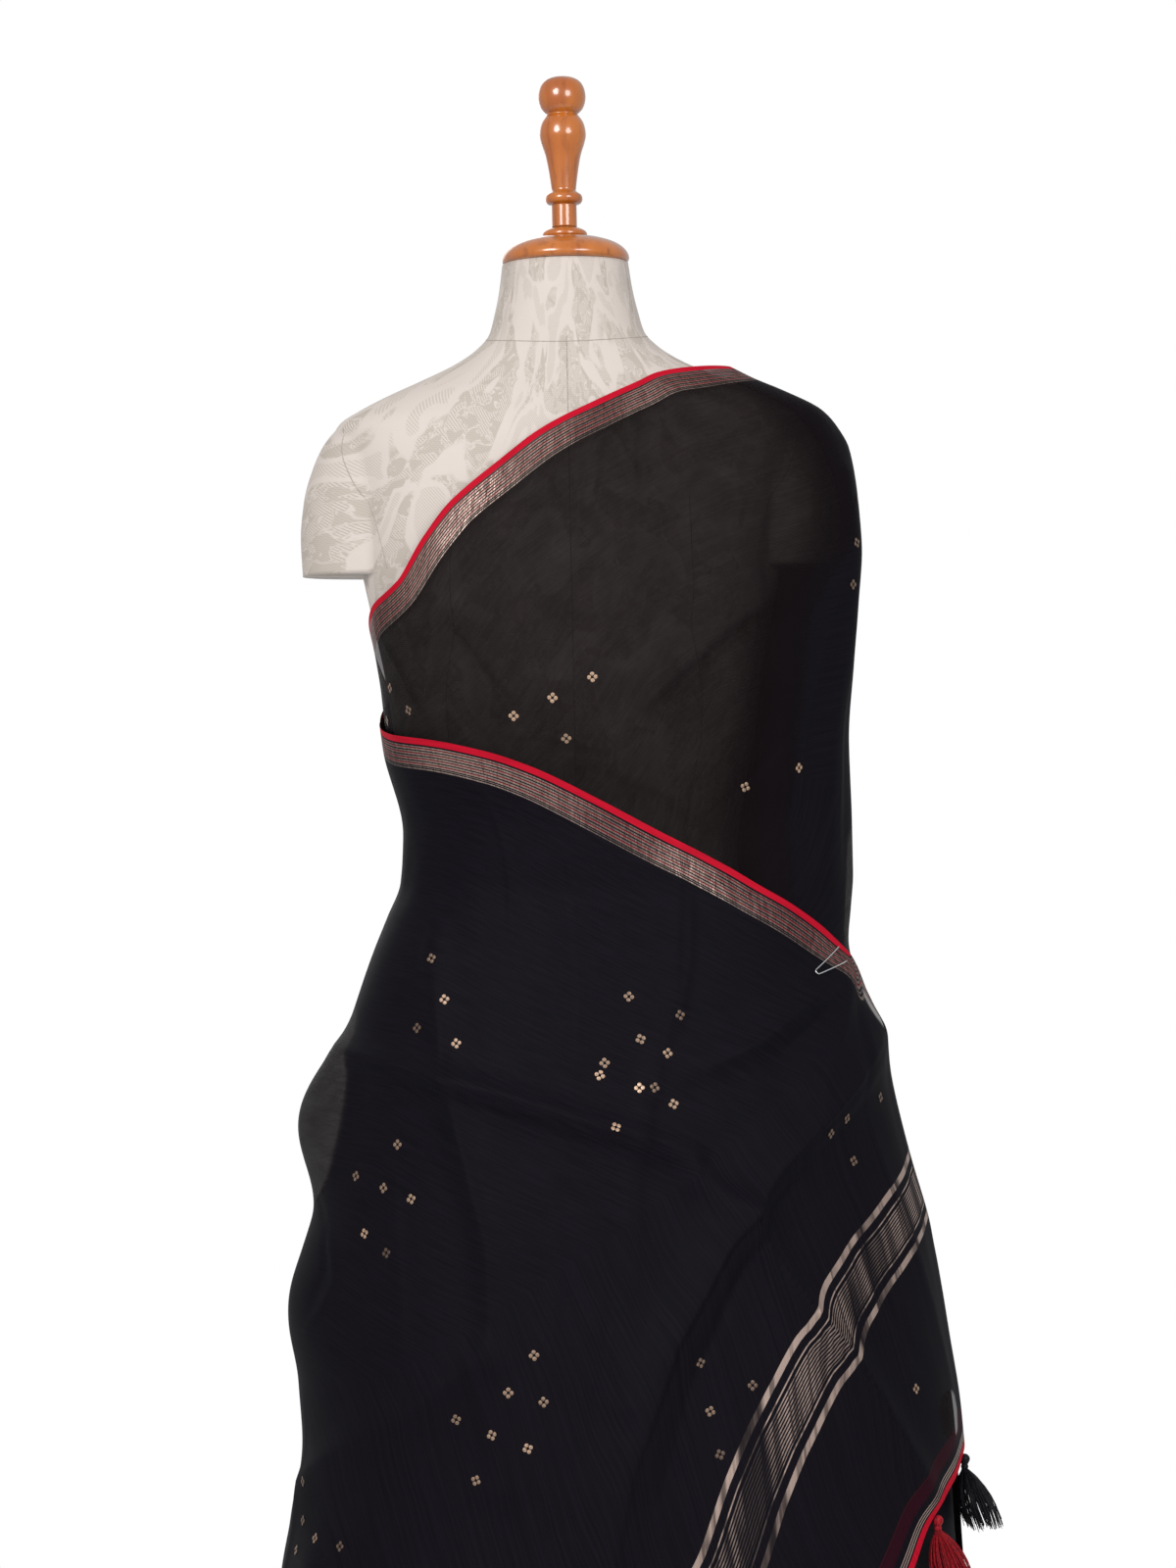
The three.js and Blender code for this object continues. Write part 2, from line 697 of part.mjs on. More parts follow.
function sareeChest() {
  const rightEnd = 360 - gapAngle(200);
  const angles = [...steps(152, 208, 7), ...steps(215, 338, 18), ...steps(343, 355, 3), 358, rightEnd];
  return clothGeometry({
    radius: chestRadius,
    angles,
    bottom: chestEdges.bottom,
    top: chestEdges.top,
    rows: 15,
    crowding: 1.4,
  });
}

function sareeBack() {
  const angles = [gapAngle(200), 2, 5, ...steps(10, 170, 25), 175, 180 - gapAngle(180)];
  return clothGeometry({
    radius: backRadius,
    angles,
    bottom: level(outerHemHeight),
    top: backEdges.top,
    rows: 17,
    crowding: 1.35,
  });
}

function sareeFront() {
  return clothGeometry({
    radius: frontRadius,
    angles: frontAngles,
    bottom: frontBottom,
    top: frontEdges.top,
    rows: 18,
    crowding: 1.4,
  });
}

function sareeSkirt() {
  const pleated = steps(285 - 4.5 * pleatPitch, 285 + 4.5 * pleatPitch, 36);
  const plain = steps(352, 360 + pleated[0] - 9, 24);
  const angles = [...plain.map((degrees) => degrees - 360), ...pleated];
  return clothGeometry({
    radius: skirtRadius,
    angles,
    bottom: level(hemHeight),
    top: level(skirtTop),
    rows: 9,
    crowding: 1.8,
    closed: true,
  });
}

const clothBlack = { color: 0x0e0c12, roughness: 0.72, metalness: 0 };
const redThread = { color: 0xa01024, roughness: 0.7, metalness: 0 };
const formCover = { color: 0xddd3c8, roughness: 0.75, metalness: 0 };
const turnedWood = { color: 0xb0581c, roughness: 0.25, metalness: 0 };
const steel = { color: 0xb8bac0, roughness: 0.3, metalness: 1 };

const saree = new THREE.Group();

function addPiece(name, geometry, finish) {
  const mesh = new THREE.Mesh(geometry, new THREE.MeshStandardMaterial(finish));
  mesh.name = name;
  saree.add(mesh);
  return mesh;
}

addPiece('stand_base', turned(baseProfile, 36), turnedWood);
const poleLength = formBottom - baseHeight - 2 * seamGap;
const pole = addPiece('stand_pole', new THREE.CylinderGeometry(poleRadius, poleRadius, poleLength, 24), steel);
pole.rotation.x = Math.PI / 2;
pole.position.z = baseHeight + seamGap + poleLength / 2;
addPiece('form_torso', formTorso(), formCover);
addPiece('form_neck', formNeck(), formCover);
addPiece('neck_cap', turned(neckCapProfile, 26), turnedWood);
addPiece('finial', turned(finialProfile, 16), turnedWood);
addPiece('saree_skirt', sareeSkirt(), clothBlack);
addPiece('saree_chest', sareeChest(), clothBlack);
addPiece('saree_back', sareeBack(), clothBlack);
addPiece('saree_front', sareeFront(), clothBlack);
tasselHeads().forEach((head, i) => {
  const outward = head.clone().setZ(0).normalize();
  const colour = i % 2 === 0 ? clothBlack : redThread;
  addPiece(`tassel_${String(i + 1).padStart(2, '0')}`, tasselGeometry(head, outward), colour);
});
addPiece('safety_pin', safetyPin(), steel);

export default saree;
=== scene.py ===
"""A black silk saree with striped borders and a tasselled end, draped on a dress form on a stand.

Sizes in the tables are millimetres, from the floor under the pole; angles are degrees round the pole:
0 is the right side as seen from the front, 90 the back, 180 the left side and 270 the front.
"""

import bpy
import numpy as np
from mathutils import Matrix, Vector, kdtree


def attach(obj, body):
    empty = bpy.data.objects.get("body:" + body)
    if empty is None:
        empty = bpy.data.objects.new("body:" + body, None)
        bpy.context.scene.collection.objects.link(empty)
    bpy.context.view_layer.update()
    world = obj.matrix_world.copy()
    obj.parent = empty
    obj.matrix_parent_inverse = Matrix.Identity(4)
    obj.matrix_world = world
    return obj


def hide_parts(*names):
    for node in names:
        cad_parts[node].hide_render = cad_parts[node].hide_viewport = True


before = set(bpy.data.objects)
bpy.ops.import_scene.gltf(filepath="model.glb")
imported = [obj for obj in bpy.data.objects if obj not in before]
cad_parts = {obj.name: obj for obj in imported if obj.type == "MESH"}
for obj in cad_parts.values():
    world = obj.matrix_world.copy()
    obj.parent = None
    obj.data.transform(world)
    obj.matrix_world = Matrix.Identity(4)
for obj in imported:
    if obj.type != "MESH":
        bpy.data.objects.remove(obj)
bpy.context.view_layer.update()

MM = 0.001
SEED = 7

# Driving sizes, the same as the solids'
FRONT_LIFT = 4.0
SKIRT_INSET = 5.5
SKIRT_TOP = 1072
HEM = 45
OUTER_HEM = 52
PLEAT_DEPTH = 24
PLEAT_PITCH = 13
ARC = 3.2                 # length round the drape for one degree
SHEET_DEPTH = 0.4         # the thin sheets lie this far inside the solids' outer faces
POLE_RADIUS = 16
BASE_RADIUS = 165
FORM_BOTTOM = 800
SHOULDER_END = 1331
SHOULDER_CENTRE = 150
SHOULDER_TOP = 1462
CAP_RIM = 1576
FINIAL_FOOT = 1605
TASSEL_PITCH = 84
FIRST_TASSEL = 50
TASSEL_LOWEST = 112
TASSEL_OFFSET = 4.5
END_EDGE_START = 271
FRONT_RIGHT = 365
SEAM_ROOM = 0.05          # degrees left free beside a seam
PLEATS_MIDDLE = 285
SKIRT_START = -15
FORM_ARC = 2.4            # length round the form for one degree
KNOTS = 97                # knots each way before the random swells repeat


# Curves and surfaces

def smooth_curve(xs, ys):
    """Monotone cubic through the given points, which never overshoots them."""
    xs = np.asarray(xs, float)
    ys = np.asarray(ys, float)
    steps = np.diff(xs)
    slopes = np.diff(ys) / steps
    tangents = np.concatenate([slopes[:1], np.zeros(len(xs) - 2), slopes[-1:]])
    before = 2 * steps[1:] + steps[:-1]
    after = steps[1:] + 2 * steps[:-1]
    same_way = slopes[:-1] * slopes[1:] > 0
    early = np.where(same_way, slopes[:-1], 1)
    late = np.where(same_way, slopes[1:], 1)
    tangents[1:-1] = np.where(same_way, (before + after) / (before / early + after / late), 0)

    def curve(value):
        x = np.clip(value, xs[0], xs[-1])
        i = np.clip(np.searchsorted(xs, x, side="right") - 1, 0, len(steps) - 1)
        t = (x - xs[i]) / steps[i]
        rise = t * t * (3 - 2 * t)
        leaving = t * (1 - t) ** 2 * steps[i] * tangents[i]
        arriving = t * t * (t - 1) * steps[i] * tangents[i + 1]
        return (1 - rise) * ys[i] + rise * ys[i + 1] + leaving + arriving

    return curve


def table(columns, rows):
    """A table with named columns: each column is a smooth curve over the first one."""
    rows = np.array(rows, float)
    return {name: smooth_curve(rows[:, 0], rows[:, i + 1]) for i, name in enumerate(columns[1:])}


DRAPE = table(["height", "right", "left", "front", "back", "right_fullness", "left_fullness"], [
    [45, 338, 300, 238, 255, 2.1, 2.1],
    [300, 316, 272, 218, 232, 2.1, 2.1],
    [540, 295, 245, 197, 206, 2.05, 2.1],
    [652, 290, 225, 186, 194, 2.0, 2.1],
    [730, 279.5, 229, 178, 184, 2.0, 2.1],
    [800, 269, 218, 168, 172, 1.95, 2.1],
    [865, 252, 205, 157, 160, 1.9, 2.1],
    [902, 243.5, 198, 151, 152, 1.9, 2.1],
    [949, 233.5, 189, 141, 139, 1.85, 2.1],
    [1005, 219.5, 171, 130, 121, 1.8, 2.15],
    [1033, 214, 160.5, 124, 113, 1.8, 2.2],
    [1060, 216.5, 149, 119, 106, 1.8, 2.2],
    [1087, 219, 138, 115, 101, 1.78, 2.2],
    [1126, 219, 135, 115, 99, 1.75, 2.25],
    [1190, 218, 149, 126, 105, 1.75, 2.3],
    [1250, 223, 155, 136, 113, 1.8, 2.4],
    [1300, 228, 165, 134, 117, 1.85, 2.35],
    [1345, 231.6, 174, 123, 117, 1.9, 2.2],
    [1390, 228.8, 184, 110, 111, 1.95, 2.1],
    [1425, 223, 190, 98, 101, 2, 2.1],
    [1440, 215, 193, 92, 96, 2, 2.1],
    [1455, 202, 188, 84, 89, 2, 2.1],
    [1471, 172, 155, 75, 80, 2, 2.1],
    [1481, 149, 132, 69, 74, 2, 2.1],
    [1491, 130, 112, 63, 68, 2, 2.1],
    [1500, 110, 92, 58, 64, 2, 2.1],
])
FORM = table(["height", "side", "front", "back", "fullness"], [
    [800, 160, 108, 118, 2.2],
    [850, 169, 115, 127, 2.2],
    [900, 171, 117, 129, 2.2],
    [960, 164, 111, 121, 2.2],
    [1030, 146.7, 98.5, 103.5, 2.2],
    [1104, 126.7, 90.5, 86.5, 2.2],
    [1150, 133, 99, 89, 2.25],
    [1200, 143, 115, 96, 2.35],
    [1250, 150, 128, 102, 2.45],
    [1300, 160, 125, 107, 2.35],
    [1345, 169, 113, 107, 2.2],
    [1390, 178, 100, 101, 2.1],
    [1425, 184, 88, 91, 2.1],
    [1445, 186, 80, 83, 2.1],
    [1452, 182, 77, 80, 2.1],
    [1462, 166, 72, 76, 2.1],
    [1472, 146, 67, 71, 2.1],
    [1485, 116, 60, 64, 2.05],
    [1497, 90, 56, 61, 2],
    [1508, 73, 54, 59, 2],
    [1520, 62, 53, 57, 2],
    [1535, 57.5, 51, 54, 2],
    [1555, 53, 48.5, 50.5, 2],
    [1576, 50, 46.5, 48, 2],
])
SHOULDER = table(["height", "reach", "depth"], [
    [1331, 64, 50],
    [1360, 65, 51],
    [1390, 62, 50],
    [1420, 53, 45],
    [1440, 42, 37],
    [1455, 25, 24],
    [1462, 12, 12],
])
CHEST_EDGES = table(["angle", "top", "bottom"], [
    [152, 1200, 1158],
    [165, 1238, 1160],
    [180, 1274, 1160],
    [197, 1302, 1154],
    [213, 1322, 1148],
    [220, 1355, 1146],
    [227, 1382, 1144],
    [239, 1408, 1138],
    [254, 1433, 1126],
    [267, 1446, 1112],
    [281, 1456, 1096],
    [293, 1464, 1080],
    [307, 1473, 1062],
    [320, 1482, 1044],
    [331, 1486, 1022],
    [344, 1489, 996],
    [360, 1491, 985],
])
BACK_TOP = table(["angle", "top"], [
    [0, 1491],
    [20, 1482],
    [40, 1460],
    [55, 1438],
    [72, 1411],
    [90, 1382],
    [119, 1328],
    [142, 1276],
    [169, 1226],
    [180, 1215],
])["top"]
FRONT_TOP = table(["angle", "top"], [
    [180, 1215],
    [200, 1205],
    [223, 1198],
    [241, 1188],
    [254, 1177],
    [274, 1155],
    [297, 1128],
    [318, 1100],
    [330, 1078],
    [342, 1052],
    [350, 1031],
    [354, 1018],
    [357, 998],
    [359, 956],
    [361, 880],
    [363, 770],
    [365, 658],
])["top"]
END_EDGE = table(["angle", "height"], [
    [271, 52],
    [280, 125],
    [294, 245],
    [308.5, 365],
    [324, 485],
    [335, 559],
    [342, 597],
    [350, 615],
    [358, 630],
    [365, 644],
])["height"]

# The largest folds, as in the solids: how far and how wide each stands out, then its route
CHEST_FOLDS = [
    (4, 17, [(330, 1310), (321, 1291), (309, 1263), (283, 1197)]),
    (4, 15, [(350, 1450), (339, 1360), (333, 1270), (337, 1160)]),
    (3, 14, [(322, 1466), (312, 1410), (308, 1340)]),
    (5, 12, [(352, 1400), (350, 1240), (347, 1090)]),
]
FRONT_FOLDS = [
    (7, 13, [(186, 957), (213, 948), (234, 935), (266, 909), (298, 881)]),
    (5, 15, [(221, 1040), (232, 937), (239, 883), (247, 815), (250, 640)]),
    (3, 10, [(305, 1085), (299, 998), (288, 924), (283, 868), (278, 700)]),
    (11, 20, [(356, 962), (334, 910), (316, 863), (301, 803), (287, 730), (276, 633), (268, 500)]),
    (7, 13, [(299, 862), (308, 837), (315, 782), (325, 722), (331, 672), (340, 608)]),
    (5, 14, [(349, 1016), (335, 991), (318, 962), (300, 945)]),
    (4, 13, [(350, 1004), (340, 960), (330, 930)]),
    (6, 18, [(184, 600), (210, 656), (229, 693), (244, 735)]),
    (10, 24, [(207, 560), (203, 300), (201, 52)]),
    (12, 26, [(231, 500), (228, 260), (226, 52)]),
    (11, 24, [(257, 520), (254, 280), (252, 52)]),
]
BACK_FOLDS = [
    (5, 15, [(12, 1440), (50, 1370), (100, 1250), (150, 1150)]),
    (6, 17, [(10, 1370), (45, 1270), (95, 1130), (150, 1010)]),
    (6, 18, [(12, 1230), (40, 1110), (85, 960), (140, 800)]),
    (9, 24, [(22, 1000), (32, 700), (35, 400), (36, 52)]),
    (11, 26, [(52, 900), (62, 600), (66, 300), (68, 52)]),
    (10, 23, [(92, 820), (97, 560), (100, 300), (101, 52)]),
    (12, 27, [(124, 700), (130, 420), (133, 200), (134, 52)]),
    (8, 22, [(160, 640), (163, 400), (164, 200), (165, 52)]),
]

# The middle of the striped band near the end, and of its slight step where the diagonal fold crosses it
BAND_LINE = [
    (232, 40), (239, 116), (248, 190), (262, 310), (275.5, 429), (287, 500), (299, 577), (305, 628),
    (310.6, 667), (316.9, 704), (322.7, 738), (328, 763), (336, 793), (346.3, 820), (354.5, 834),
    (366, 853),
]

# Finer creases of the thin sheets: a trough has a negative depth, and two widths are for left and right
CHEST_CREASES = [
    (2.4, (9, 2), [(330, 1306), (318, 1282), (302, 1243), (290, 1212)]),
    (-1.5, 5, [(327, 1290), (315, 1262), (300, 1225)]),
    (1.4, 4, [(344, 1452), (333, 1392), (326, 1330), (324, 1262)]),
    (-1.3, 5, [(349, 1330), (343, 1240), (341, 1150), (345, 1060)]),
    (1.5, 4, [(355, 1440), (353, 1330), (352, 1200), (351, 1080)]),
    (1.1, 4, [(305, 1462), (298, 1420), (295, 1372)]),
    (-1.0, 4, [(289, 1450), (284, 1412), (279, 1370)]),
    (1.2, 5, [(262, 1180), (280, 1172), (300, 1152), (322, 1118)]),
    (-1.0, 4, [(240, 1200), (262, 1196), (286, 1180)]),
    (1.1, 4, [(228, 1300), (240, 1262), (252, 1220)]),
    (1.2, 4, [(200, 1285), (212, 1250), (222, 1205)]),
    (-1.1, 4, [(338, 1210), (330, 1172), (318, 1140)]),
]
FRONT_CREASES = [
    (3.2, (13, 1.6), [(184, 962), (205, 955), (226, 944), (250, 927), (276, 903), (300, 884)]),
    (-2.0, 5, [(190, 946), (214, 937), (238, 922), (266, 898), (296, 872)]),
    (2.2, (2.2, 9), [(224, 1018), (230, 960), (238, 890), (246, 820), (249, 700)]),
    (-1.3, 4, [(228, 1000), (236, 930), (244, 860), (250, 790)]),
    (3.0, (1.8, 14), [(358, 968), (338, 920), (318, 868), (303, 812), (290, 744), (279, 650), (272, 540)]),
    (-2.2, 6, [(352, 934), (333, 890), (316, 838), (304, 780), (293, 710), (284, 620)]),
    (3.2, (14, 1.5), [(300, 864), (309, 838), (316, 784), (326, 724), (332, 674), (340, 612)]),
    (-1.6, 4, [(304, 838), (311, 790), (320, 730), (327, 676), (335, 622)]),
    (2.4, (9, 2), [(348, 1014), (335, 992), (320, 964), (304, 944)]),
    (-1.5, 4, [(347, 1004), (336, 974), (324, 950)]),
    (1.4, 4, [(349, 1000), (341, 962), (333, 930), (329, 900)]),
    (-1.2, 3.5, [(350, 990), (346, 950), (341, 910)]),
    (1.5, 4, [(196, 828), (204, 804), (207, 785), (204, 761), (198, 741)]),
    (-1.2, 4, [(190, 850), (199, 820), (203, 790), (200, 760)]),
    (1.4, 5, [(184, 610), (206, 648), (228, 688), (246, 738)]),
    (1.2, 4, [(262, 1150), (268, 1080), (270, 1000), (268, 940)]),
    (-1.0, 4, [(284, 1120), (287, 1060), (286, 1000)]),
    (1.1, 4, [(236, 1170), (244, 1110), (247, 1040)]),
    (1.2, 5, [(310, 1096), (306, 1030), (299, 970)]),
    (1.3, 5, [(262, 880), (263, 800), (260, 700), (259, 600)]),
    (-1.1, 5, [(275, 860), (276, 780), (271, 690), (267, 600)]),
    (1.2, 5, [(216, 900), (221, 840), (226, 760), (226, 660)]),
    (1.6, 6, [(192, 700), (190, 560), (189, 400), (190, 200), (190, 60)]),
    (-1.6, 7, [(216, 560), (214, 420), (213, 260), (212, 60)]),
    (1.6, 6, [(243, 620), (242, 460), (241, 280), (240, 60)]),
    (-1.5, 6, [(266, 600), (264, 420), (263, 240), (262, 60)]),
    (1.3, 5, [(344, 900), (346, 820), (350, 740), (354, 660)]),
    (-1.3, 5, [(330, 830), (336, 760), (344, 690)]),
]
BACK_CREASES = [
    (1.6, 5, [(8, 1452), (30, 1420), (60, 1362), (96, 1290), (140, 1212)]),
    (-1.6, 6, [(10, 1410), (40, 1330), (76, 1240), (120, 1150), (165, 1080)]),
    (1.7, 5, [(8, 1330), (34, 1240), (70, 1130), (112, 1040), (160, 960)]),
    (-1.5, 6, [(8, 1180), (30, 1090), (60, 990), (100, 880), (150, 780)]),
    (1.5, 6, [(10, 1100), (24, 960), (28, 760), (28, 500), (29, 240), (28, 60)]),
    (-1.8, 7, [(40, 940), (46, 740), (50, 500), (51, 260), (52, 60)]),
    (1.7, 6, [(70, 900), (78, 700), (82, 460), (84, 240), (84, 60)]),
    (-1.8, 7, [(106, 820), (112, 620), (116, 400), (117, 200), (118, 60)]),
    (1.6, 6, [(140, 760), (146, 560), (149, 340), (150, 160), (150, 60)]),
    (1.3, 5, [(168, 900), (172, 800), (173, 680)]),
    (-1.2, 5, [(60, 1180), (84, 1100), (112, 1020)]),
]


def outline_radius(angle, side, depth, fullness):
    """Radius of a rounded outline."""
    across = np.abs(np.cos(angle) / side) ** fullness
    along = np.abs(np.sin(angle) / depth) ** fullness
    return (across + along) ** (-1 / fullness)


def drape_radius(degrees, height):
    """Radius of the draped figure."""
    angle = np.radians(degrees)
    right = np.cos(angle) >= 0
    side = np.where(right, DRAPE["right"](height), DRAPE["left"](height))
    depth = np.where(np.sin(angle) >= 0, DRAPE["back"](height), DRAPE["front"](height))
    fullness = np.where(right, DRAPE["right_fullness"](height), DRAPE["left_fullness"](height))
    return outline_radius(angle, side, depth, fullness)


def form_radius(degrees, height):
    """Radius of the dress form: its body, or the shoulder cap where that reaches further."""
    angle = np.radians(degrees)
    depth = np.where(np.sin(angle) >= 0, FORM["back"](height), FORM["front"](height))
    body = outline_radius(angle, FORM["side"](height), depth, FORM["fullness"](height))
    reach = SHOULDER["reach"](height)
    across = np.abs(np.cos(angle)) / reach
    square = across ** 2 + (np.sin(angle) / SHOULDER["depth"](height)) ** 2
    linear = across * (SHOULDER_CENTRE / reach)
    room = linear ** 2 - square * ((SHOULDER_CENTRE / reach) ** 2 - 1)
    cap = (linear + np.sqrt(np.maximum(room, 0))) / square
    capped = (room > 0) & (height >= SHOULDER_END) & (height <= SHOULDER_TOP)
    return np.where(capped, np.maximum(body, cap), body)


def nearest_on_route(route, degrees, height):
    """How far a place is from a route, how far along it, from 0 to 1, and whether to its right."""
    nearest = np.full(np.shape(degrees), np.inf)
    travelled = np.zeros(np.shape(degrees))
    to_right = np.zeros(np.shape(degrees), bool)
    spans = len(route) - 1
    for i, (start, end) in enumerate(zip(route, route[1:])):
        across = (end[0] - start[0]) * ARC
        up = end[1] - start[1]
        from_start = (degrees - start[0]) * ARC
        along = (from_start * across + (height - start[1]) * up) / (across ** 2 + up ** 2)
        t = np.clip(along, 0, 1)
        distance = np.hypot(from_start - t * across, height - start[1] - t * up)
        closer = distance < nearest
        nearest = np.where(closer, distance, nearest)
        travelled = np.where(closer, (i + t) / spans, travelled)
        to_right = np.where(closer, from_start * up - (height - start[1]) * across > 0, to_right)
    return nearest, travelled, to_right


def folds_at(folds, degrees, height):
    """The large folds, full along their routes and lower at the ends."""
    total = np.zeros(np.shape(degrees))
    for depth, width, route in folds:
        nearest, travelled = nearest_on_route(route, degrees, height)[:2]
        shape = np.sin(np.pi * np.minimum(0.12 + 0.88 * travelled, 1) * 0.92)
        total += depth * (0.35 + 0.65 * np.sqrt(shape)) * np.exp(-((nearest / width) ** 2))
    return total


def creases_at(creases, degrees, height):
    """The fine creases, which fade out at both ends."""
    total = np.zeros(np.shape(degrees))
    for depth, width, route in creases:
        left_width, right_width = width if isinstance(width, tuple) else (width, width)
        nearest, travelled, to_right = nearest_on_route(route, degrees, height)
        fade = np.sin(np.pi * np.clip(travelled, 0, 1)) ** 0.6
        spread = nearest / np.where(to_right, right_width, left_width)
        total += depth * fade * np.exp(-(spread ** 1.6))
    return total


def hump(value, middle, half_width):
    """A round hump: 1 at the middle and 0 beyond the half width."""
    t = np.abs(value - middle) / half_width
    return np.where(t < 1, np.cos(np.minimum(t, 1) * np.pi / 2) ** 2, 0)


def smoothstep(value, low, high):
    t = np.clip((value - low) / (high - low), 0, 1)
    return t * t * (3 - 2 * t)


def hip_loop(degrees, height):
    """The loose loop of cloth that stands off the left hip, and the slack below it."""
    loop = 25 * hump(degrees, 182, 26) * hump(height, 905, 82)
    return loop + 8 * hump(degrees, 188, 34) * hump(height, 765, 70)


def soft_noise(across, up, cell, seed):
    """Smooth random swells between -1 and 1, one knot to each cell."""
    knots = np.random.default_rng(seed).uniform(-1, 1, (KNOTS, KNOTS))
    x = np.asarray(across, float) / cell
    y = np.asarray(up, float) / cell
    column = np.floor(x).astype(int)
    row = np.floor(y).astype(int)
    tx = smoothstep(x - column, 0, 1)
    ty = smoothstep(y - row, 0, 1)

    def knot(i, j):
        return knots[(column + i) % KNOTS, (row + j) % KNOTS]

    low = knot(0, 0) * (1 - tx) + knot(1, 0) * tx
    high = knot(0, 1) * (1 - tx) + knot(1, 1) * tx
    return low * (1 - ty) + high * ty


def rumple(degrees, height, seed):
    """The slight unevenness of light silk."""
    across = degrees * ARC + 900
    slow = soft_noise(across + 0.3 * height, height - 0.2 * across, 62, seed)
    quick = soft_noise(across - 0.4 * height, height + 0.3 * across, 23, seed + 1)
    return 0.75 * slow + 0.3 * quick


def chest_radius(degrees, height):
    edge_fade = np.minimum(1, (360 - degrees) / 8)
    return drape_radius(degrees, height) + edge_fade * folds_at(CHEST_FOLDS, degrees, height)


def front_radius(degrees, height):
    under = chest_radius(np.minimum(degrees, 360), height)
    clear = np.maximum(drape_radius(degrees, height), under)
    from_seam = np.minimum(1, (degrees - 180) / 12)
    folds = from_seam * folds_at(FRONT_FOLDS, degrees, height)
    tip_lift = 2.5 * smoothstep(degrees, 354, 360)
    return clear + FRONT_LIFT + tip_lift + folds + hip_loop(degrees, height)


def back_radius(degrees, height):
    lift = FRONT_LIFT * smoothstep(degrees, 20, 110)
    from_seams = np.clip(np.minimum(degrees / 12, (180 - degrees) / 12), 0, 1)
    folds = from_seams * folds_at(BACK_FOLDS, degrees, height)
    return drape_radius(degrees, height) + lift + folds + hip_loop(degrees, height)


def skirt_radius(degrees, height):
    fall = np.clip((SKIRT_TOP - height) / (SKIRT_TOP - HEM), 0, 1)
    in_front = hump(degrees, PLEATS_MIDDLE, 80)
    pleats = 0.5 + 0.5 * np.cos(np.radians((degrees - PLEATS_MIDDLE) * 360 / PLEAT_PITCH))
    sway = 0.5 + 0.5 * np.cos(np.radians(degrees * 9 + 35 * np.sin(np.radians(degrees * 3))))
    share = np.minimum(1, in_front * 3)
    wave = sway * (1 - share) + pleats * share
    return drape_radius(degrees, height) - SKIRT_INSET - PLEAT_DEPTH * fall * (1 - wave)


def thin_sheet(radius, creases, seed, quiet_from, quiet_to):
    """A stretch's thin sheet: its solid's form with creases and unevenness, plain at its two ends."""

    def sheet_radius(degrees, height):
        still = np.clip(np.minimum(degrees - quiet_from, quiet_to - degrees) / 8, 0, 1)
        detail = creases_at(creases, degrees, height) + rumple(degrees, height, seed)
        return radius(degrees, height) - SHEET_DEPTH + still * detail

    return sheet_radius


chest_sheet = thin_sheet(chest_radius, CHEST_CREASES, SEED, 150, 362)
front_sheet = thin_sheet(front_radius, FRONT_CREASES, SEED + 10, 180, 366)
back_sheet = thin_sheet(back_radius, BACK_CREASES, SEED + 20, 0, 180)
skirt_sheet = thin_sheet(skirt_radius, [], SEED + 30, -60, 400)


def place_on(radius, degrees, height):
    """Places on a surface, in millimetres."""
    degrees, height = np.broadcast_arrays(np.asarray(degrees, float), np.asarray(height, float))
    angle = np.radians(degrees)
    reach = radius(degrees, height)
    return np.stack([reach * np.cos(angle), reach * np.sin(angle), height], axis=-1)


def tangents_on(radius, degrees, height):
    """Unit vectors at a place of a surface: round to the right, up the surface, and out of it."""
    around = place_on(radius, degrees + 0.4, height) - place_on(radius, degrees - 0.4, height)
    up = place_on(radius, degrees, height + 1.5) - place_on(radius, degrees, height - 1.5)
    out = np.cross(around, up)
    around = around / np.linalg.norm(around, axis=-1, keepdims=True)
    out = out / np.linalg.norm(out, axis=-1, keepdims=True)
    return around, np.cross(out, around), out


# Meshes

def make_object(name, points, faces, material):
    """A mesh object from points in millimetres."""
    mesh = bpy.data.meshes.new(name)
    mesh.from_pydata((np.asarray(points, float) * MM).tolist(), [], faces)
    mesh.polygons.foreach_set("use_smooth", [True] * len(mesh.polygons))
    mesh.materials.append(material)
    mesh.update()
    piece = bpy.data.objects.new(name, mesh)
    bpy.context.scene.collection.objects.link(piece)
    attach(piece, "root")
    return piece


def grid_faces(columns, rows, closed=False):
    """Faces between neighbouring columns of points."""
    spans = columns if closed else columns - 1
    i, j = np.meshgrid(np.arange(spans), np.arange(rows - 1), indexing="ij")
    a = i * rows + j
    b = ((i + 1) % columns) * rows + j
    return np.stack([a, b, b + 1, a + 1], axis=-1).reshape(-1, 4).tolist()


def add_attribute(piece, name, values):
    attribute = piece.data.attributes.new(name, "FLOAT", "POINT")
    attribute.data.foreach_set("value", np.asarray(values, np.float32).ravel())


def add_uv(piece, across, up):
    """A flat layout in metres, for the grain of the cloth."""
    layer = piece.data.uv_layers.new(name="layout")
    corners = np.empty(len(piece.data.loops), int)
    piece.data.loops.foreach_get("vertex_index", corners)
    flat = np.stack([np.ravel(across), np.ravel(up)], axis=-1)[corners] * MM
    layer.data.foreach_set("uv", flat.ravel())


def distance_to_lines(points, lines):
    """Distance of each point from the nearest of some lines, each a row of close points."""
    samples = np.concatenate(lines)
    tree = kdtree.KDTree(len(samples))
    for i, sample in enumerate(samples):
        tree.insert(sample, i)
    tree.balance()
    return np.array([tree.find(point)[2] for point in points.reshape(-1, 3)])


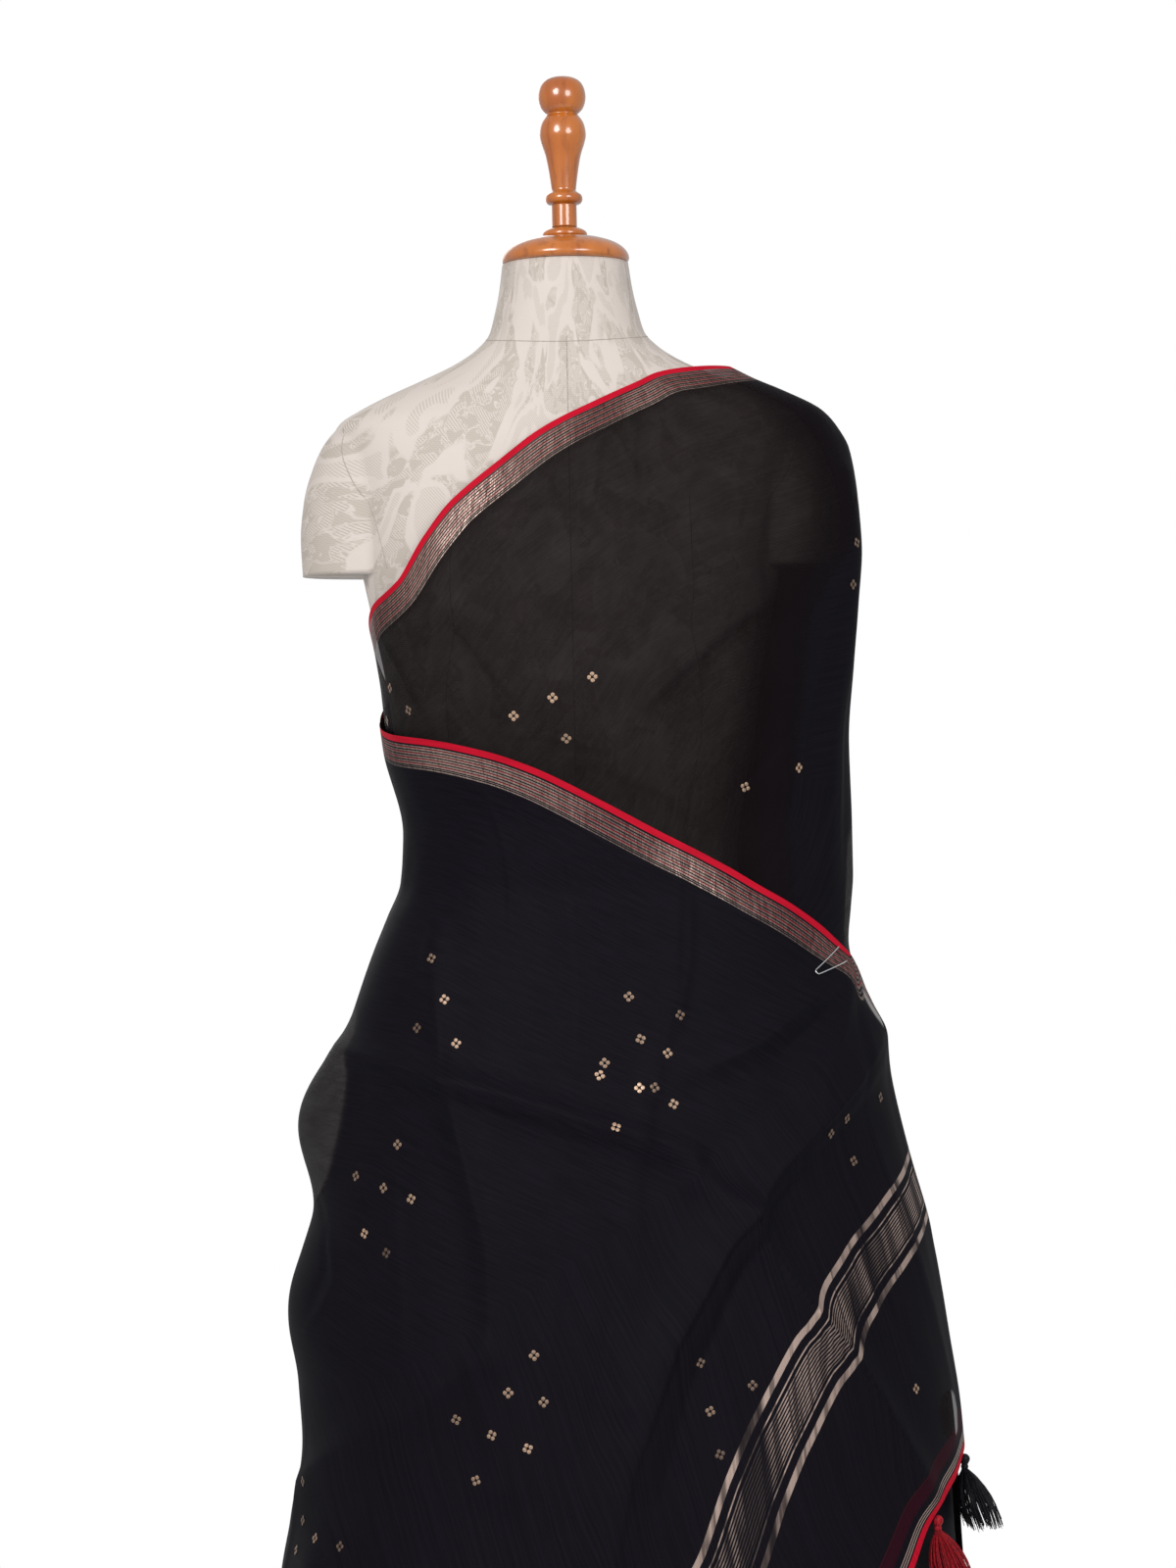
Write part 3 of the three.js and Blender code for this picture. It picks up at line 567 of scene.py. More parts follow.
def edge_line(radius, degrees, height):
    """An edge of a stretch, sampled every half millimetre or so."""
    coarse = place_on(radius, degrees, height)
    lengths = np.concatenate([[0], np.cumsum(np.linalg.norm(np.diff(coarse, axis=0), axis=1))])
    fine = np.arange(0, lengths[-1], 0.5)
    return np.stack([np.interp(fine, lengths, coarse[:, axis]) for axis in range(3)], axis=-1)


def cloth_piece(name, radius, angles, low, high, rows, closed=False):
    """A thin sheet over a surface, between a lower and an upper edge."""
    share = np.linspace(0, 1, rows)
    height = low[:, None] + (high - low)[:, None] * share[None, :]
    degrees = np.repeat(angles[:, None], rows, axis=1)
    points = place_on(radius, degrees, height)
    faces = grid_faces(len(angles), rows, closed)
    piece = make_object(name, points.reshape(-1, 3), faces, silk)
    return piece, points, degrees, height


def ring_faces(rings, sides):
    """Faces between rings of points, with both ends closed."""
    faces = []
    for i in range(rings - 1):
        for j in range(sides):
            k = (j + 1) % sides
            faces.append([i * sides + j, i * sides + k, (i + 1) * sides + k, (i + 1) * sides + j])
    last = (rings - 1) * sides
    faces.append([last + j for j in range(sides)])
    faces.append([j for j in reversed(range(sides))])
    return faces


def tube_points(path, radii, sides, turn=0.0):
    """Rings of points round a path, and the faces between them with both ends closed."""
    path = np.asarray(path, float)
    forward = np.gradient(path, axis=0)
    forward /= np.linalg.norm(forward, axis=1, keepdims=True)
    helper = np.array([0.0, 0.0, 1.0]) if abs(forward[0][2]) < 0.9 else np.array([1.0, 0.0, 0.0])
    side = np.cross(forward, helper)
    side /= np.linalg.norm(side, axis=1, keepdims=True)
    other = np.cross(forward, side)
    angle = (turn + np.linspace(0, 2 * np.pi, sides, endpoint=False))[None, :, None]
    radii = np.broadcast_to(radii, len(path))
    ring = np.cos(angle) * side[:, None, :] + np.sin(angle) * other[:, None, :]
    points = path[:, None, :] + radii[:, None, None] * ring
    return points.reshape(-1, 3), ring_faces(len(path), sides)


class Builder:
    """Gathers several shapes into one mesh."""

    def __init__(self):
        self.points = []
        self.faces = []
        self.count = 0

    def add(self, points, faces):
        self.points.append(np.asarray(points, float))
        self.faces.extend([[self.count + corner for corner in face] for face in faces])
        self.count += len(points)

    def build(self, name, material):
        return make_object(name, np.concatenate(self.points), self.faces, material)


def lathe(profile, sides):
    """Points and faces of a turned piece from rows of radius and height, closed at both ends."""
    profile = np.asarray(profile, float)
    angle = np.linspace(0, 2 * np.pi, sides, endpoint=False)
    x = profile[:, :1] * np.cos(angle)
    y = profile[:, :1] * np.sin(angle)
    z = np.repeat(profile[:, 1:], sides, axis=1)
    points = np.stack([x, y, z], axis=-1).reshape(-1, 3)
    return points, ring_faces(len(profile), sides)


def rounded(profile, steps=6):
    """A smooth line through a profile's points; a point given twice stays a corner."""
    points = np.asarray(profile, float)
    line = []
    for i in range(len(points) - 1):
        before = points[max(i - 1, 0)]
        start = points[i]
        end = points[i + 1]
        after = points[min(i + 2, len(points) - 1)]
        if np.allclose(start, end):
            continue
        for step in range(steps):
            t = step / steps
            bend = 2 * start + (end - before) * t
            bend = bend + (2 * before - 5 * start + 4 * end - after) * t ** 2
            bend = bend + (3 * start - before - 3 * end + after) * t ** 3
            line.append(bend / 2)
    line.append(points[-1])
    return np.array(line)


# Materials

class Shader:
    """Writes a node material: each call adds a node and returns its output."""

    def __init__(self, name):
        self.material = bpy.data.materials.new(name)
        self.material.use_nodes = True
        self.nodes = self.material.node_tree.nodes
        self.links = self.material.node_tree.links
        self.surface = self.nodes["Principled BSDF"]

    def put(self, socket, value):
        if isinstance(value, bpy.types.NodeSocket):
            self.links.new(value, socket)
        else:
            socket.default_value = value

    def set(self, **values):
        """Sets or links the surface's sockets; spaces are written as underscores."""
        for name, value in values.items():
            self.put(self.surface.inputs[name.replace("_", " ")], value)

    def math(self, operation, *values):
        node = self.nodes.new("ShaderNodeMath")
        node.operation = operation
        for socket, value in zip(node.inputs, values):
            self.put(socket, value)
        return node.outputs[0]

    def times(self, first, second):
        return self.math("MULTIPLY", first, second)

    def most(self, *values):
        total = values[0]
        for value in values[1:]:
            total = self.math("MAXIMUM", total, value)
        return total

    def split(self, vector):
        node = self.nodes.new("ShaderNodeSeparateXYZ")
        self.put(node.inputs[0], vector)
        return node.outputs[0], node.outputs[1]

    def attribute(self, name):
        node = self.nodes.new("ShaderNodeAttribute")
        node.attribute_name = name
        return node.outputs["Fac"]

    def layout(self):
        node = self.nodes.new("ShaderNodeUVMap")
        node.uv_map = "layout"
        return node.outputs[0]

    def place(self):
        return self.nodes.new("ShaderNodeTexCoord").outputs["Object"]

    def scaled(self, vector, scale, turn=0.0):
        node = self.nodes.new("ShaderNodeMapping")
        self.put(node.inputs["Vector"], vector)
        node.inputs["Scale"].default_value = scale
        node.inputs["Rotation"].default_value = (0, 0, turn)
        return node.outputs[0]

    def noise(self, vector, scale, detail=2.0, roughness=0.5, distortion=0.0):
        node = self.nodes.new("ShaderNodeTexNoise")
        self.put(node.inputs["Vector"], vector)
        node.inputs["Scale"].default_value = scale
        node.inputs["Detail"].default_value = detail
        node.inputs["Roughness"].default_value = roughness
        node.inputs["Distortion"].default_value = distortion
        return node.outputs["Fac"]

    def grain(self, vector, scale, turn=0.0, detail=2.0, roughness=0.5, distortion=0.0):
        """A noise stretched by a scale for each axis."""
        return self.noise(self.scaled(vector, scale, turn), 1.0, detail, roughness, distortion)

    def range(self, value, low, high, to_low=0.0, to_high=1.0):
        node = self.nodes.new("ShaderNodeMapRange")
        for socket, number in zip(node.inputs, (value, low, high, to_low, to_high)):
            self.put(socket, number)
        return node.outputs[0]

    def band(self, value, low, high, blur=0.15):
        """1 between two values and 0 outside them."""
        rise = self.range(value, low - blur, low + blur)
        fall = self.range(value, high - blur, high + blur, 1.0, 0.0)
        return self.math("MULTIPLY", rise, fall)

    def mix(self, factor, first, second):
        node = self.nodes.new("ShaderNodeMix")
        node.data_type = "RGBA"
        self.put(node.inputs[0], factor)
        for socket, colour in ((node.inputs[6], first), (node.inputs[7], second)):
            self.put(socket, colour if isinstance(colour, bpy.types.NodeSocket) else (*colour, 1))
        return node.outputs[2]

    def bump(self, height, strength, distance):
        node = self.nodes.new("ShaderNodeBump")
        node.inputs["Strength"].default_value = strength
        node.inputs["Distance"].default_value = distance
        self.put(node.inputs["Height"], height)
        return node.outputs[0]


SILK = (0.0036, 0.0030, 0.0048)
SEE_THROUGH_TINT = (0.0046, 0.0024, 0.0030)      # painted light: a browner tint where a light ground shows through one ply
RED = (0.47, 0.006, 0.022)
MAROON = (0.030, 0.002, 0.007)
ZARI = (0.42, 0.315, 0.27)
ONE_PLY = 0.15            # light that passes one ply of the silk


def silk_material():
    """Sheer silk: borders by the distance from an edge, stripes by the distance from the end."""
    shader = Shader("saree_silk")
    both = shader.times
    either = shader.most
    selvage = shader.attribute("selvage")
    end = shader.attribute("end")
    band = shader.attribute("band")
    plies = shader.attribute("plies")
    layout = shader.layout()

    def lines(distance, pitch, share):
        phase = shader.math("FRACT", shader.math("DIVIDE", distance, pitch))
        return shader.math("LESS_THAN", phase, share)

    # Upper and lower border, from the edge inwards
    red_edge = shader.band(selvage, -5, 5.0)
    striped = shader.band(selvage, 6.4, 23)
    silver_lines = both(striped, lines(selvage, 2.05, 0.55))
    red_lines = both(striped, lines(shader.math("ADD", selvage, 0.5), 4.1, 0.2))
    outer_line = shader.band(selvage, 24.0, 24.8)

    # The end, from its edge inwards
    end_edge = shader.band(end, -6, 6)
    end_lines = either(*[shader.band(end, low, low + 0.9) for low in (7.8, 10.2, 12.6)])
    end_maroon = shader.band(end, 20, 31, 1.5)
    maroon_line = shader.band(end, 31.5, 32.3)

    # The striped band, from its middle to both sides
    from_middle = shader.math("ABSOLUTE", band)
    wide_stripes = shader.band(from_middle, 21.5, 26.5)
    thin_stripes = shader.band(from_middle, 14.3, 15.3)
    ribbed = both(shader.band(band, -12, 12), lines(band, 2.3, 0.42))

    # Painted glints: the zari catches the light unevenly along each line, so its share is made brighter and
    # darker in turn
    crinkle = shader.grain(layout, (170, 26, 1), 0.5, 3.0, 0.65, 0.6)
    patches = shader.grain(layout, (30, 22, 1), 0.4, 2.0, 0.5, 0.6)
    drift = shader.grain(layout, (4.5, 4.5, 1), 0.0, 1.0)
    zari_glint = shader.range(crinkle, 0.36, 0.60, 0.25, 1.35)
    zari_glint = both(zari_glint, shader.range(patches, 0.42, 0.58, 0.10, 1.4))
    border_glint_and_shade = shader.range(crinkle, 0.32, 0.66, 0.50, 1.1)
    border_glint_and_shade = both(border_glint_and_shade, shader.range(drift, 0.38, 0.58, 0.22, 1.0))
    # Painted shade: the border's zari is dimmed towards the right of the drape, from 1.10 to 1.19 m round it
    round_drape = shader.split(layout)[0]
    border_glint_and_shade = both(border_glint_and_shade, shader.range(round_drape, 1.10, 1.19, 1.0, 0.4))
    ticks = shader.grain(layout, (900, 160, 1), 0.35, 1.0)
    border_glint_and_shade = both(border_glint_and_shade, shader.range(ticks, 0.35, 0.65, 0.45, 1.2))
    border_share = both(either(silver_lines, outer_line), border_glint_and_shade)
    end_share = both(end_lines, shader.range(patches, 0.3, 0.6, 0.5, 1.3))
    band_share = both(either(wide_stripes, thin_stripes, both(ribbed, 0.55)), zari_glint)
    metal = shader.math("MINIMUM", either(border_share, end_share, band_share), 1.0)

    red_share = either(red_edge, end_edge)
    slub = shader.grain(layout, (25, 700, 1), 0.0, 2.0, 0.6)
    cloudy = shader.grain(layout, (40, 60, 1), 0.6, 4.0, 0.7, 0.8)
    ground = shader.mix(shader.range(slub, 0.35, 0.65), SILK, tuple(1.6 * part for part in SILK))
    # Painted light: where fewer plies let the light ground show through, the silk is tinted browner
    ground = shader.mix(shader.range(plies, 1.2, 2.2, 1.0, 0.0), ground, SEE_THROUGH_TINT)
    ground = shader.mix(both(end_maroon, 0.6), ground, MAROON)
    ground = shader.mix(both(red_lines, 0.35), ground, RED)
    ground = shader.mix(both(maroon_line, 0.08), ground, RED)
    ground = shader.mix(metal, ground, ZARI)
    red_weave = shader.mix(shader.range(slub, 0.3, 0.7), tuple(0.75 * part for part in RED), RED)
    colour = shader.mix(red_share, ground, red_weave)

    woven = either(striped, shader.band(band, -27, 27), shader.band(end, 6, 19))
    dense = either(red_share, metal, both(woven, 0.75))
    one_ply = both(
        shader.range(slub, 0.25, 0.75, ONE_PLY * 0.8, ONE_PLY * 1.2),
        shader.range(cloudy, 0.3, 0.7, 0.8, 1.2),
    )
    through = both(shader.math("POWER", one_ply, plies), shader.math("SUBTRACT", 1.0, dense))
    weave = shader.grain(layout, (500, 500, 1), 0.0, 1.0, 0.5)
    shader.set(
        Base_Color=colour,
        Alpha=shader.math("SUBTRACT", 1.0, through),
        Metallic=both(metal, 0.8),
        Roughness=shader.range(metal, 0.0, 1.0, 0.6, 0.36),
        Specular_IOR_Level=0.038,
        Normal=shader.bump(weave, 0.12, 0.0004),
    )
    return shader.material


def motif_material():
    shader = Shader("butti_thread")
    place = shader.place()
    twill = shader.grain(place, (900, 900, 2400), 0.0, 2.0)
    # Painted glints: each flower's thread runs from near black to gold by how brightly it catches the light
    bright = shader.attribute("bright")
    thread = shader.mix(shader.range(twill, 0.35, 0.65), (0.30, 0.19, 0.125), (0.62, 0.42, 0.29))
    shader.set(
        Base_Color=shader.mix(bright, (0.020, 0.010, 0.007), thread),
        Metallic=0.45,
        Roughness=0.42,
        Normal=shader.bump(twill, 0.4, 0.0003),
    )
    return shader.material


def cover_material():
    """Ivory damask: large leaves and scrolls in a slightly darker weave, hatched ground, fine ribs."""
    shader = Shader("form_damask")
    layout = shader.layout()
    across, up = shader.split(layout)
    leaves = shader.noise(shader.scaled(layout, (1.0, 0.7, 1), 0.5), 25.0, 2.0, 0.4, 0.9)
    scrolls = shader.noise(shader.scaled(layout, (1.0, 1.0, 1), -0.4), 75.0, 2.0, 0.5, 1.2)
    leaf = shader.range(leaves, 0.50, 0.525)
    vein = shader.band(scrolls, 0.48, 0.52, 0.015)
    cord = shader.range(shader.math("SINE", shader.times(up, 4200.0)), -1, 1)
    slant = shader.math("SINE", shader.times(shader.math("ADD", across, up), 2600.0))
    hatch = shader.range(slant, -0.2, 0.5)
    solid = shader.range(scrolls, 0.44, 0.47)
    leaf_weave = shader.most(shader.times(solid, 0.62), shader.times(hatch, 0.8))
    leaf_weave = shader.times(leaf_weave, shader.math("SUBTRACT", 1.0, vein))
    ground_hatch = shader.times(shader.range(leaves, 0.40, 0.42, 1.0, 0.0), hatch)
    pattern = shader.most(shader.times(leaf, leaf_weave), shader.times(ground_hatch, 0.5))
    wear = shader.noise(layout, 14.0, 3.0)
    ivory = shader.mix(wear, (0.525, 0.462, 0.418), (0.575, 0.515, 0.47))
    greige = shader.mix(cord, (0.33, 0.285, 0.235), (0.41, 0.36, 0.305))
    height = shader.math("ADD", shader.times(pattern, 0.8), shader.times(cord, 0.3))
    shader.set(
        Base_Color=shader.mix(pattern, ivory, greige),
        Roughness=0.72,
        Specular_IOR_Level=0.25,
        Sheen_Weight=0.05,
        Normal=shader.bump(height, 0.35, 0.0005),
    )
    return shader.material


def wood_material():
    """Varnished orange-brown wood with upright grain."""
    shader = Shader("turned_wood_varnish")
    place = shader.place()
    grain = shader.grain(place, (160, 160, 6), 0.0, 4.0, 0.6, 0.6)
    flame = shader.grain(place, (28, 28, 9), 0.0, 3.0, 0.5, 0.8)
    light = shader.mix(shader.range(flame, 0.35, 0.7), (0.50, 0.145, 0.010), (0.35, 0.082, 0.005))
    shader.set(
        Base_Color=shader.mix(shader.range(grain, 0.52, 0.85), light, (0.17, 0.036, 0.004)),
        Roughness=0.3,
        Coat_Weight=1.0,
        Coat_Roughness=0.13,
        Normal=shader.bump(grain, 0.08, 0.0006),
    )
    return shader.material


def steel_material(name, colour, roughness):
    shader = Shader(name)
    brushed = shader.grain(shader.place(), (40, 40, 900), 0.0, 2.0)
    shader.set(
        Base_Color=shader.mix(brushed, tuple(0.85 * part for part in colour), colour),
        Metallic=1.0,
        Roughness=shader.range(brushed, 0.3, 0.7, roughness, roughness + 0.12),
        Normal=shader.bump(brushed, 0.05, 0.0002),
    )
    return shader.material


def thread_material(name, dark, light, roughness):
    shader = Shader(name)
    ply = shader.grain(shader.place(), (700, 700, 90), 0.0, 2.0)
    shader.set(
        Base_Color=shader.mix(shader.range(ply, 0.35, 0.65), dark, light),
        Roughness=roughness,
        Specular_IOR_Level=0.12,
        Sheen_Weight=0.02,
        Normal=shader.bump(ply, 0.3, 0.0003),
    )
    return shader.material


def floor_material():
    shader = Shader("studio_floor")
    cloudy = shader.noise(shader.place(), 3.0, 3.0)
    shader.set(
        Base_Color=shader.mix(cloudy, (0.78, 0.78, 0.78), (0.82, 0.82, 0.82)),
        Roughness=0.8,
    )
    return shader.material


silk = silk_material()
butti = motif_material()
damask = cover_material()
wood = wood_material()
steel = steel_material("pole_steel_brushed", (0.62, 0.62, 0.64), 0.25)
pin_steel = steel_material("pin_wire_bright", (0.86, 0.86, 0.86), 0.16)
black_thread = thread_material("tassel_black_thread", (0.004, 0.004, 0.006), (0.012, 0.012, 0.015), 0.38)
red_thread = thread_material("tassel_red_thread", (0.16, 0.004, 0.008), (0.36, 0.010, 0.018), 0.5)
seam_thread = thread_material("form_seam_thread", (0.30, 0.26, 0.23), (0.42, 0.37, 0.33), 0.8)


# The saree

FULL_PLIES = 3.6          # plies where the last stretch lies over the rest
SKIRT_PLIES = 3.2
LOOP_PATCH = (181, 27, 913, 112)


def patch(degrees, height, middle, half_angle, centre, half_height):
    """A mask over an oval patch of cloth, with a sharp but not jagged rim."""
    oval = hump(degrees, middle, half_angle) * hump(height, centre, half_height)
    return smoothstep(oval, 0.10, 0.22)


def finish_cloth(piece, points, degrees, selvages, plies, end_lines=(), band=None, tucked=0.0):
    """Stores what the silk's material reads: distances from the edges, how many plies, the layout."""
    selvage = distance_to_lines(points, selvages)
    far = np.full(selvage.shape, 1000.0)
    add_attribute(piece, "selvage", selvage + np.ravel(tucked))
    add_attribute(piece, "end", distance_to_lines(points, end_lines) if end_lines else far)
    add_attribute(piece, "band", far if band is None else band)
    add_attribute(piece, "plies", plies)
    add_uv(piece, degrees.ravel() * ARC * 1.1, selvage)


def hem_line(radius, first, last, height):
    return edge_line(radius, np.linspace(first, last, 400), height)


def build_chest():
    angles = np.linspace(152, 360 - SEAM_ROOM, 270)
    low = CHEST_EDGES["bottom"](angles)
    high = CHEST_EDGES["top"](angles)
    name = "saree_chest_cloth"
    piece, points, degrees, height = cloth_piece(name, chest_sheet, angles, low, high, 150)
    top = edge_line(chest_sheet, angles, high)
    # More plies where the cloth passes over the shoulder; along its creases the silk is made denser, a
    # painted shade that darkens them
    over_shoulder = degrees - 15 * smoothstep(height, 1270, 1380)
    free = 0.55 * smoothstep(over_shoulder, 322, 334) + 1.6 * smoothstep(over_shoulder, 335, 345)
    crease_shade = 0.16 * np.abs(creases_at(CHEST_CREASES, degrees, height))
    thin_edge = patch(degrees, height, 360, 9, 1062, 88)
    plies = (1.0 + free + crease_shade) * (1 - thin_edge) + 0.9 * thin_edge
    finish_cloth(piece, points, degrees, [top], plies)
    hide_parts("saree_chest")
    return piece


def build_front():
    angles = np.linspace(180 + SEAM_ROOM, FRONT_RIGHT, 240)
    low = np.where(angles <= END_EDGE_START, OUTER_HEM, END_EDGE(angles))
    high = FRONT_TOP(angles)
    name = "saree_front_cloth"
    piece, points, degrees, height = cloth_piece(name, front_sheet, angles, low, high, 330)
    top = edge_line(front_sheet, angles, high)
    hem = hem_line(front_sheet, angles[0], END_EDGE_START, OUTER_HEM)
    end_angles = np.linspace(END_EDGE_START, FRONT_RIGHT, 300)
    end = edge_line(front_sheet, end_angles, END_EDGE(end_angles))
    # The end edge is carried on past both its ends, so that its stripes run out of the sheet
    below = edge_line(front_sheet, np.linspace(255, END_EDGE_START, 60), np.linspace(-77, OUTER_HEM, 60))
    beyond = edge_line(front_sheet, np.linspace(FRONT_RIGHT, 385, 60), np.linspace(644, 690, 60))
    route = np.array(BAND_LINE, float)
    share = np.linspace(0, len(route) - 1, 40 * len(route))
    on_route = [np.interp(share, np.arange(len(route)), column) for column in route.T]
    middle = edge_line(front_sheet, *on_route)
    from_middle = distance_to_lines(points, [middle])
    below_middle = nearest_on_route(BAND_LINE, degrees, height)[2]
    band = np.where(below_middle.ravel(), from_middle, -from_middle)
    loop = patch(degrees, height, *LOOP_PATCH)
    sliver = patch(degrees, height, 360, 8, 990, 46)
    corner = patch(degrees, height, 350, 6, 663, 26)
    plies = FULL_PLIES - 2.6 * loop - 2.8 * sliver - 2.6 * corner
    # The border is turned under where the edge falls down the right side
    tucked = 17 * smoothstep(degrees, 350.5, 356.5)
    finish_cloth(piece, points, degrees, [top, hem], plies, [end, below, beyond], band, tucked)
    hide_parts("saree_front")
    return piece


def build_back():
    angles = np.linspace(SEAM_ROOM, 180 - SEAM_ROOM, 190)
    high = BACK_TOP(angles)
    low = np.full(angles.shape, float(OUTER_HEM))
    name = "saree_back_cloth"
    piece, points, degrees, height = cloth_piece(name, back_sheet, angles, low, high, 330)
    top = edge_line(back_sheet, angles, high)
    hem = hem_line(back_sheet, angles[0], angles[-1], OUTER_HEM)
    loop = patch(degrees, height, *LOOP_PATCH)
    thin_edge = patch(degrees, height, 0, 9, 1062, 88)
    sliver = patch(degrees, height, 0, 9, 992, 44)
    plies = FULL_PLIES - 2.6 * loop - 2.5 * np.maximum(thin_edge, sliver)
    finish_cloth(piece, points, degrees, [top, hem], plies)
    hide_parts("saree_back")
    return piece


def build_skirt():
    angles = np.linspace(0, 360, 420, endpoint=False) + SKIRT_START
    low = np.full(angles.shape, float(HEM))
    high = np.full(angles.shape, float(SKIRT_TOP))
    name = "saree_skirt_cloth"
    piece, points, degrees, height = cloth_piece(name, skirt_sheet, angles, low, high, 190, True)
    hem = hem_line(skirt_sheet, SKIRT_START, SKIRT_START + 360, HEM)
    finish_cloth(piece, points, degrees, [hem], np.full(degrees.shape, SKIRT_PLIES))
    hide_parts("saree_skirt")
    return piece


chest = build_chest()
front = build_front()
back = build_back()
skirt = build_skirt()

# The woven flowers: each cluster has seven, at these offsets to the right and up
CLUSTER = [(33, 63), (13, 35), (41, 26), (-29, 12), (0, 0), (28, -11), (-14, -37)]
PETALS = 4
PETAL_SIDES = 10
PETAL_RADIUS = 1.5
PETAL_WIDTH = 1.1         # of its length
PETAL_OFFSET = 2.5
PETAL_RISE = 0.4
FLOWER_LIFT = 0.35
GLINTS = [0.2, 0.3, 0.4, 0.55, 0.8]     # how brightly a flower catches the light


def flower_shape(radius, degrees, height, turn):
    """Points and faces of a small flower of four rounded petals round a bare middle, on the cloth."""
    centre = place_on(radius, degrees, height)
    right, up, out = tangents_on(radius, degrees, height)
    points = []
    faces = []
    for petal in range(PETALS):
        lean = turn + petal * 2 * np.pi / PETALS
        direction = np.cos(lean) * right + np.sin(lean) * up
        sideways = np.cross(out, direction)
        middle = centre + PETAL_OFFSET * direction + FLOWER_LIFT * out
        first = len(points)
        points.append(middle + PETAL_RISE * out)
        for corner in range(PETAL_SIDES):
            angle = corner * 2 * np.pi / PETAL_SIDES
            spoke = np.cos(angle) * direction + PETAL_WIDTH * np.sin(angle) * sideways
            points.append(middle + PETAL_RADIUS * spoke)
        for corner in range(PETAL_SIDES):
            faces.append([first, first + 1 + corner, first + 1 + (corner + 1) % PETAL_SIDES])
    return points, faces


def build_flowers(name, radius, clusters, singles, seed):
    """Clusters: angle, height, turn and which flowers show. Singles: angle, height and brightness."""
    rng = np.random.default_rng(seed)
    builder = Builder()
    bright = []
    places = [(degrees, height, 0.0, glint) for degrees, height, glint in singles]
    for degrees, height, turn, shown in clusters:
        turn = np.radians(turn)
        reach = radius(np.array(float(degrees)), np.array(float(height)))
        for across, up in [CLUSTER[index] for index in shown]:
            x = across * np.cos(turn) - up * np.sin(turn)
            z = across * np.sin(turn) + up * np.cos(turn)
            places.append((degrees + np.degrees(x / reach), height + z, turn, rng.choice(GLINTS)))
    for degrees, height, turn, glint in places:
        points, faces = flower_shape(radius, degrees, height, turn + rng.uniform(-0.4, 0.4))
        builder.add(points, faces)
        bright.extend([glint] * len(points))
    piece = builder.build(name, butti)
    add_attribute(piece, "bright", bright)
    return piece


ALL = range(7)
front_flowers = build_flowers(
    "saree_front_flowers",
    front_sheet,
    [
        (203, 560, 0, [2, 3, 6]),
        (222, 452, 0, ALL),
        (250, 330, 0, ALL),
        (206, 240, 0, ALL),
        (236, 160, 0, ALL),
    ],
    [
        (285.6, 1000, 0.40), (300.2, 985, 0.20), (288.1, 968, 0.45), (295.2, 957, 0.60), (276.8, 951, 0.45),
        (275.2, 942, 0.80), (286.3, 932, 1.00), (290.4, 932, 0.28), (295.4, 919, 0.55), (278.7, 904, 0.85),
        (222.2, 1031, 0.35), (228.1, 1000, 0.60), (232.9, 967, 0.60), (220.1, 978, 0.22), (219.1, 890, 0.45),
        (207.3, 864, 0.35), (216.6, 857, 0.50), (224.7, 850, 0.60), (213.0, 822, 0.90), (219.9, 809, 0.14),
        (257.3, 737, 0.45), (251.7, 710, 0.50), (259.6, 703, 0.38), (239.7, 689, 0.38), (248.2, 679, 0.60),
        (256.0, 669, 0.70), (244.5, 645, 0.50), (331.1, 890, 0.32), (335.9, 900, 0.32), (348.3, 912, 0.28),
        (337.0, 867, 0.28), (295.7, 728, 0.30), (306.4, 709, 0.22), (297.1, 692, 0.35), (298.5, 660, 0.16),
        (339.9, 691, 0.60), (196.4, 625, 0.30), (196.8, 595, 0.30), (204.3, 587, 0.55),
    ],
    SEED + 40,
)
skirt_flowers = build_flowers(
    "saree_skirt_flowers",
    skirt_sheet,
    [(310, 330, 0, ALL), (338, 470, 0, ALL), (330, 200, 0, ALL), (300, 150, 0, ALL)],
    [],
    SEED + 41,
)
chest_flowers = build_flowers(
    "saree_chest_flowers",
    chest_sheet,
    [],
    [
        (263, 1228, 0.95), (276, 1243, 0.80), (250, 1215, 0.95), (267, 1197, 0.60), (339, 1171, 0.95),
        (326, 1157, 0.50), (354, 1382, 0.30), (351, 1347, 0.35), (350, 1314, 0.30), (204, 1240, 0.50),
        (213, 1222, 0.40), (196, 1215, 0.60),
    ],
    SEED + 42,
)
BACK_CLUSTER_ROWS = range(190, 1330, 215)
BACK_CLUSTER_COLUMNS = [22, 64, 106, 148]
BACK_CLUSTER_SHIFT = 21
back_clusters = []
for row, row_height in enumerate(BACK_CLUSTER_ROWS):
    for column_angle in BACK_CLUSTER_COLUMNS:
        cluster_angle = column_angle + BACK_CLUSTER_SHIFT * (row % 2)
        if cluster_angle < 168 and row_height + 95 < BACK_TOP(np.array(float(cluster_angle))):
            back_clusters.append((cluster_angle, row_height, 0, ALL))
back_flowers = build_flowers("saree_back_flowers", back_sheet, back_clusters, [], SEED + 43)


# Tassels

def tassel_heads():
    """Where the heads sit: a fixed length of the end edge apart, just outside it."""
    angles = np.concatenate([
        np.linspace(189.5, 344, 30),
        np.linspace(348, 357, 4),
        np.linspace(359, FRONT_RIGHT, 4),
    ])
    angles = angles[angles > END_EDGE_START][::-1]
    edge = place_on(front_radius, angles, END_EDGE(angles))
    heads = []
    travelled = TASSEL_PITCH - FIRST_TASSEL
    for i in range(len(edge) - 1):
        start = edge[i]
        along = edge[i + 1] - start
        length = np.linalg.norm(along)
        along = along / length
        middle = (angles[i] + angles[i + 1]) / 2
        out = tangents_on(front_radius, middle, (start[2] + edge[i + 1][2]) / 2)[2]
        away = np.cross(along, out)
        away /= np.linalg.norm(away)
        if away[2] > 0:
            away = -away
        step = TASSEL_PITCH - travelled
        while step < length:
            place = start + along * step
            if place[2] > TASSEL_LOWEST:
                heads.append(place + away * TASSEL_OFFSET)
            step += TASSEL_PITCH
        travelled = length - (step - TASSEL_PITCH)
    return heads


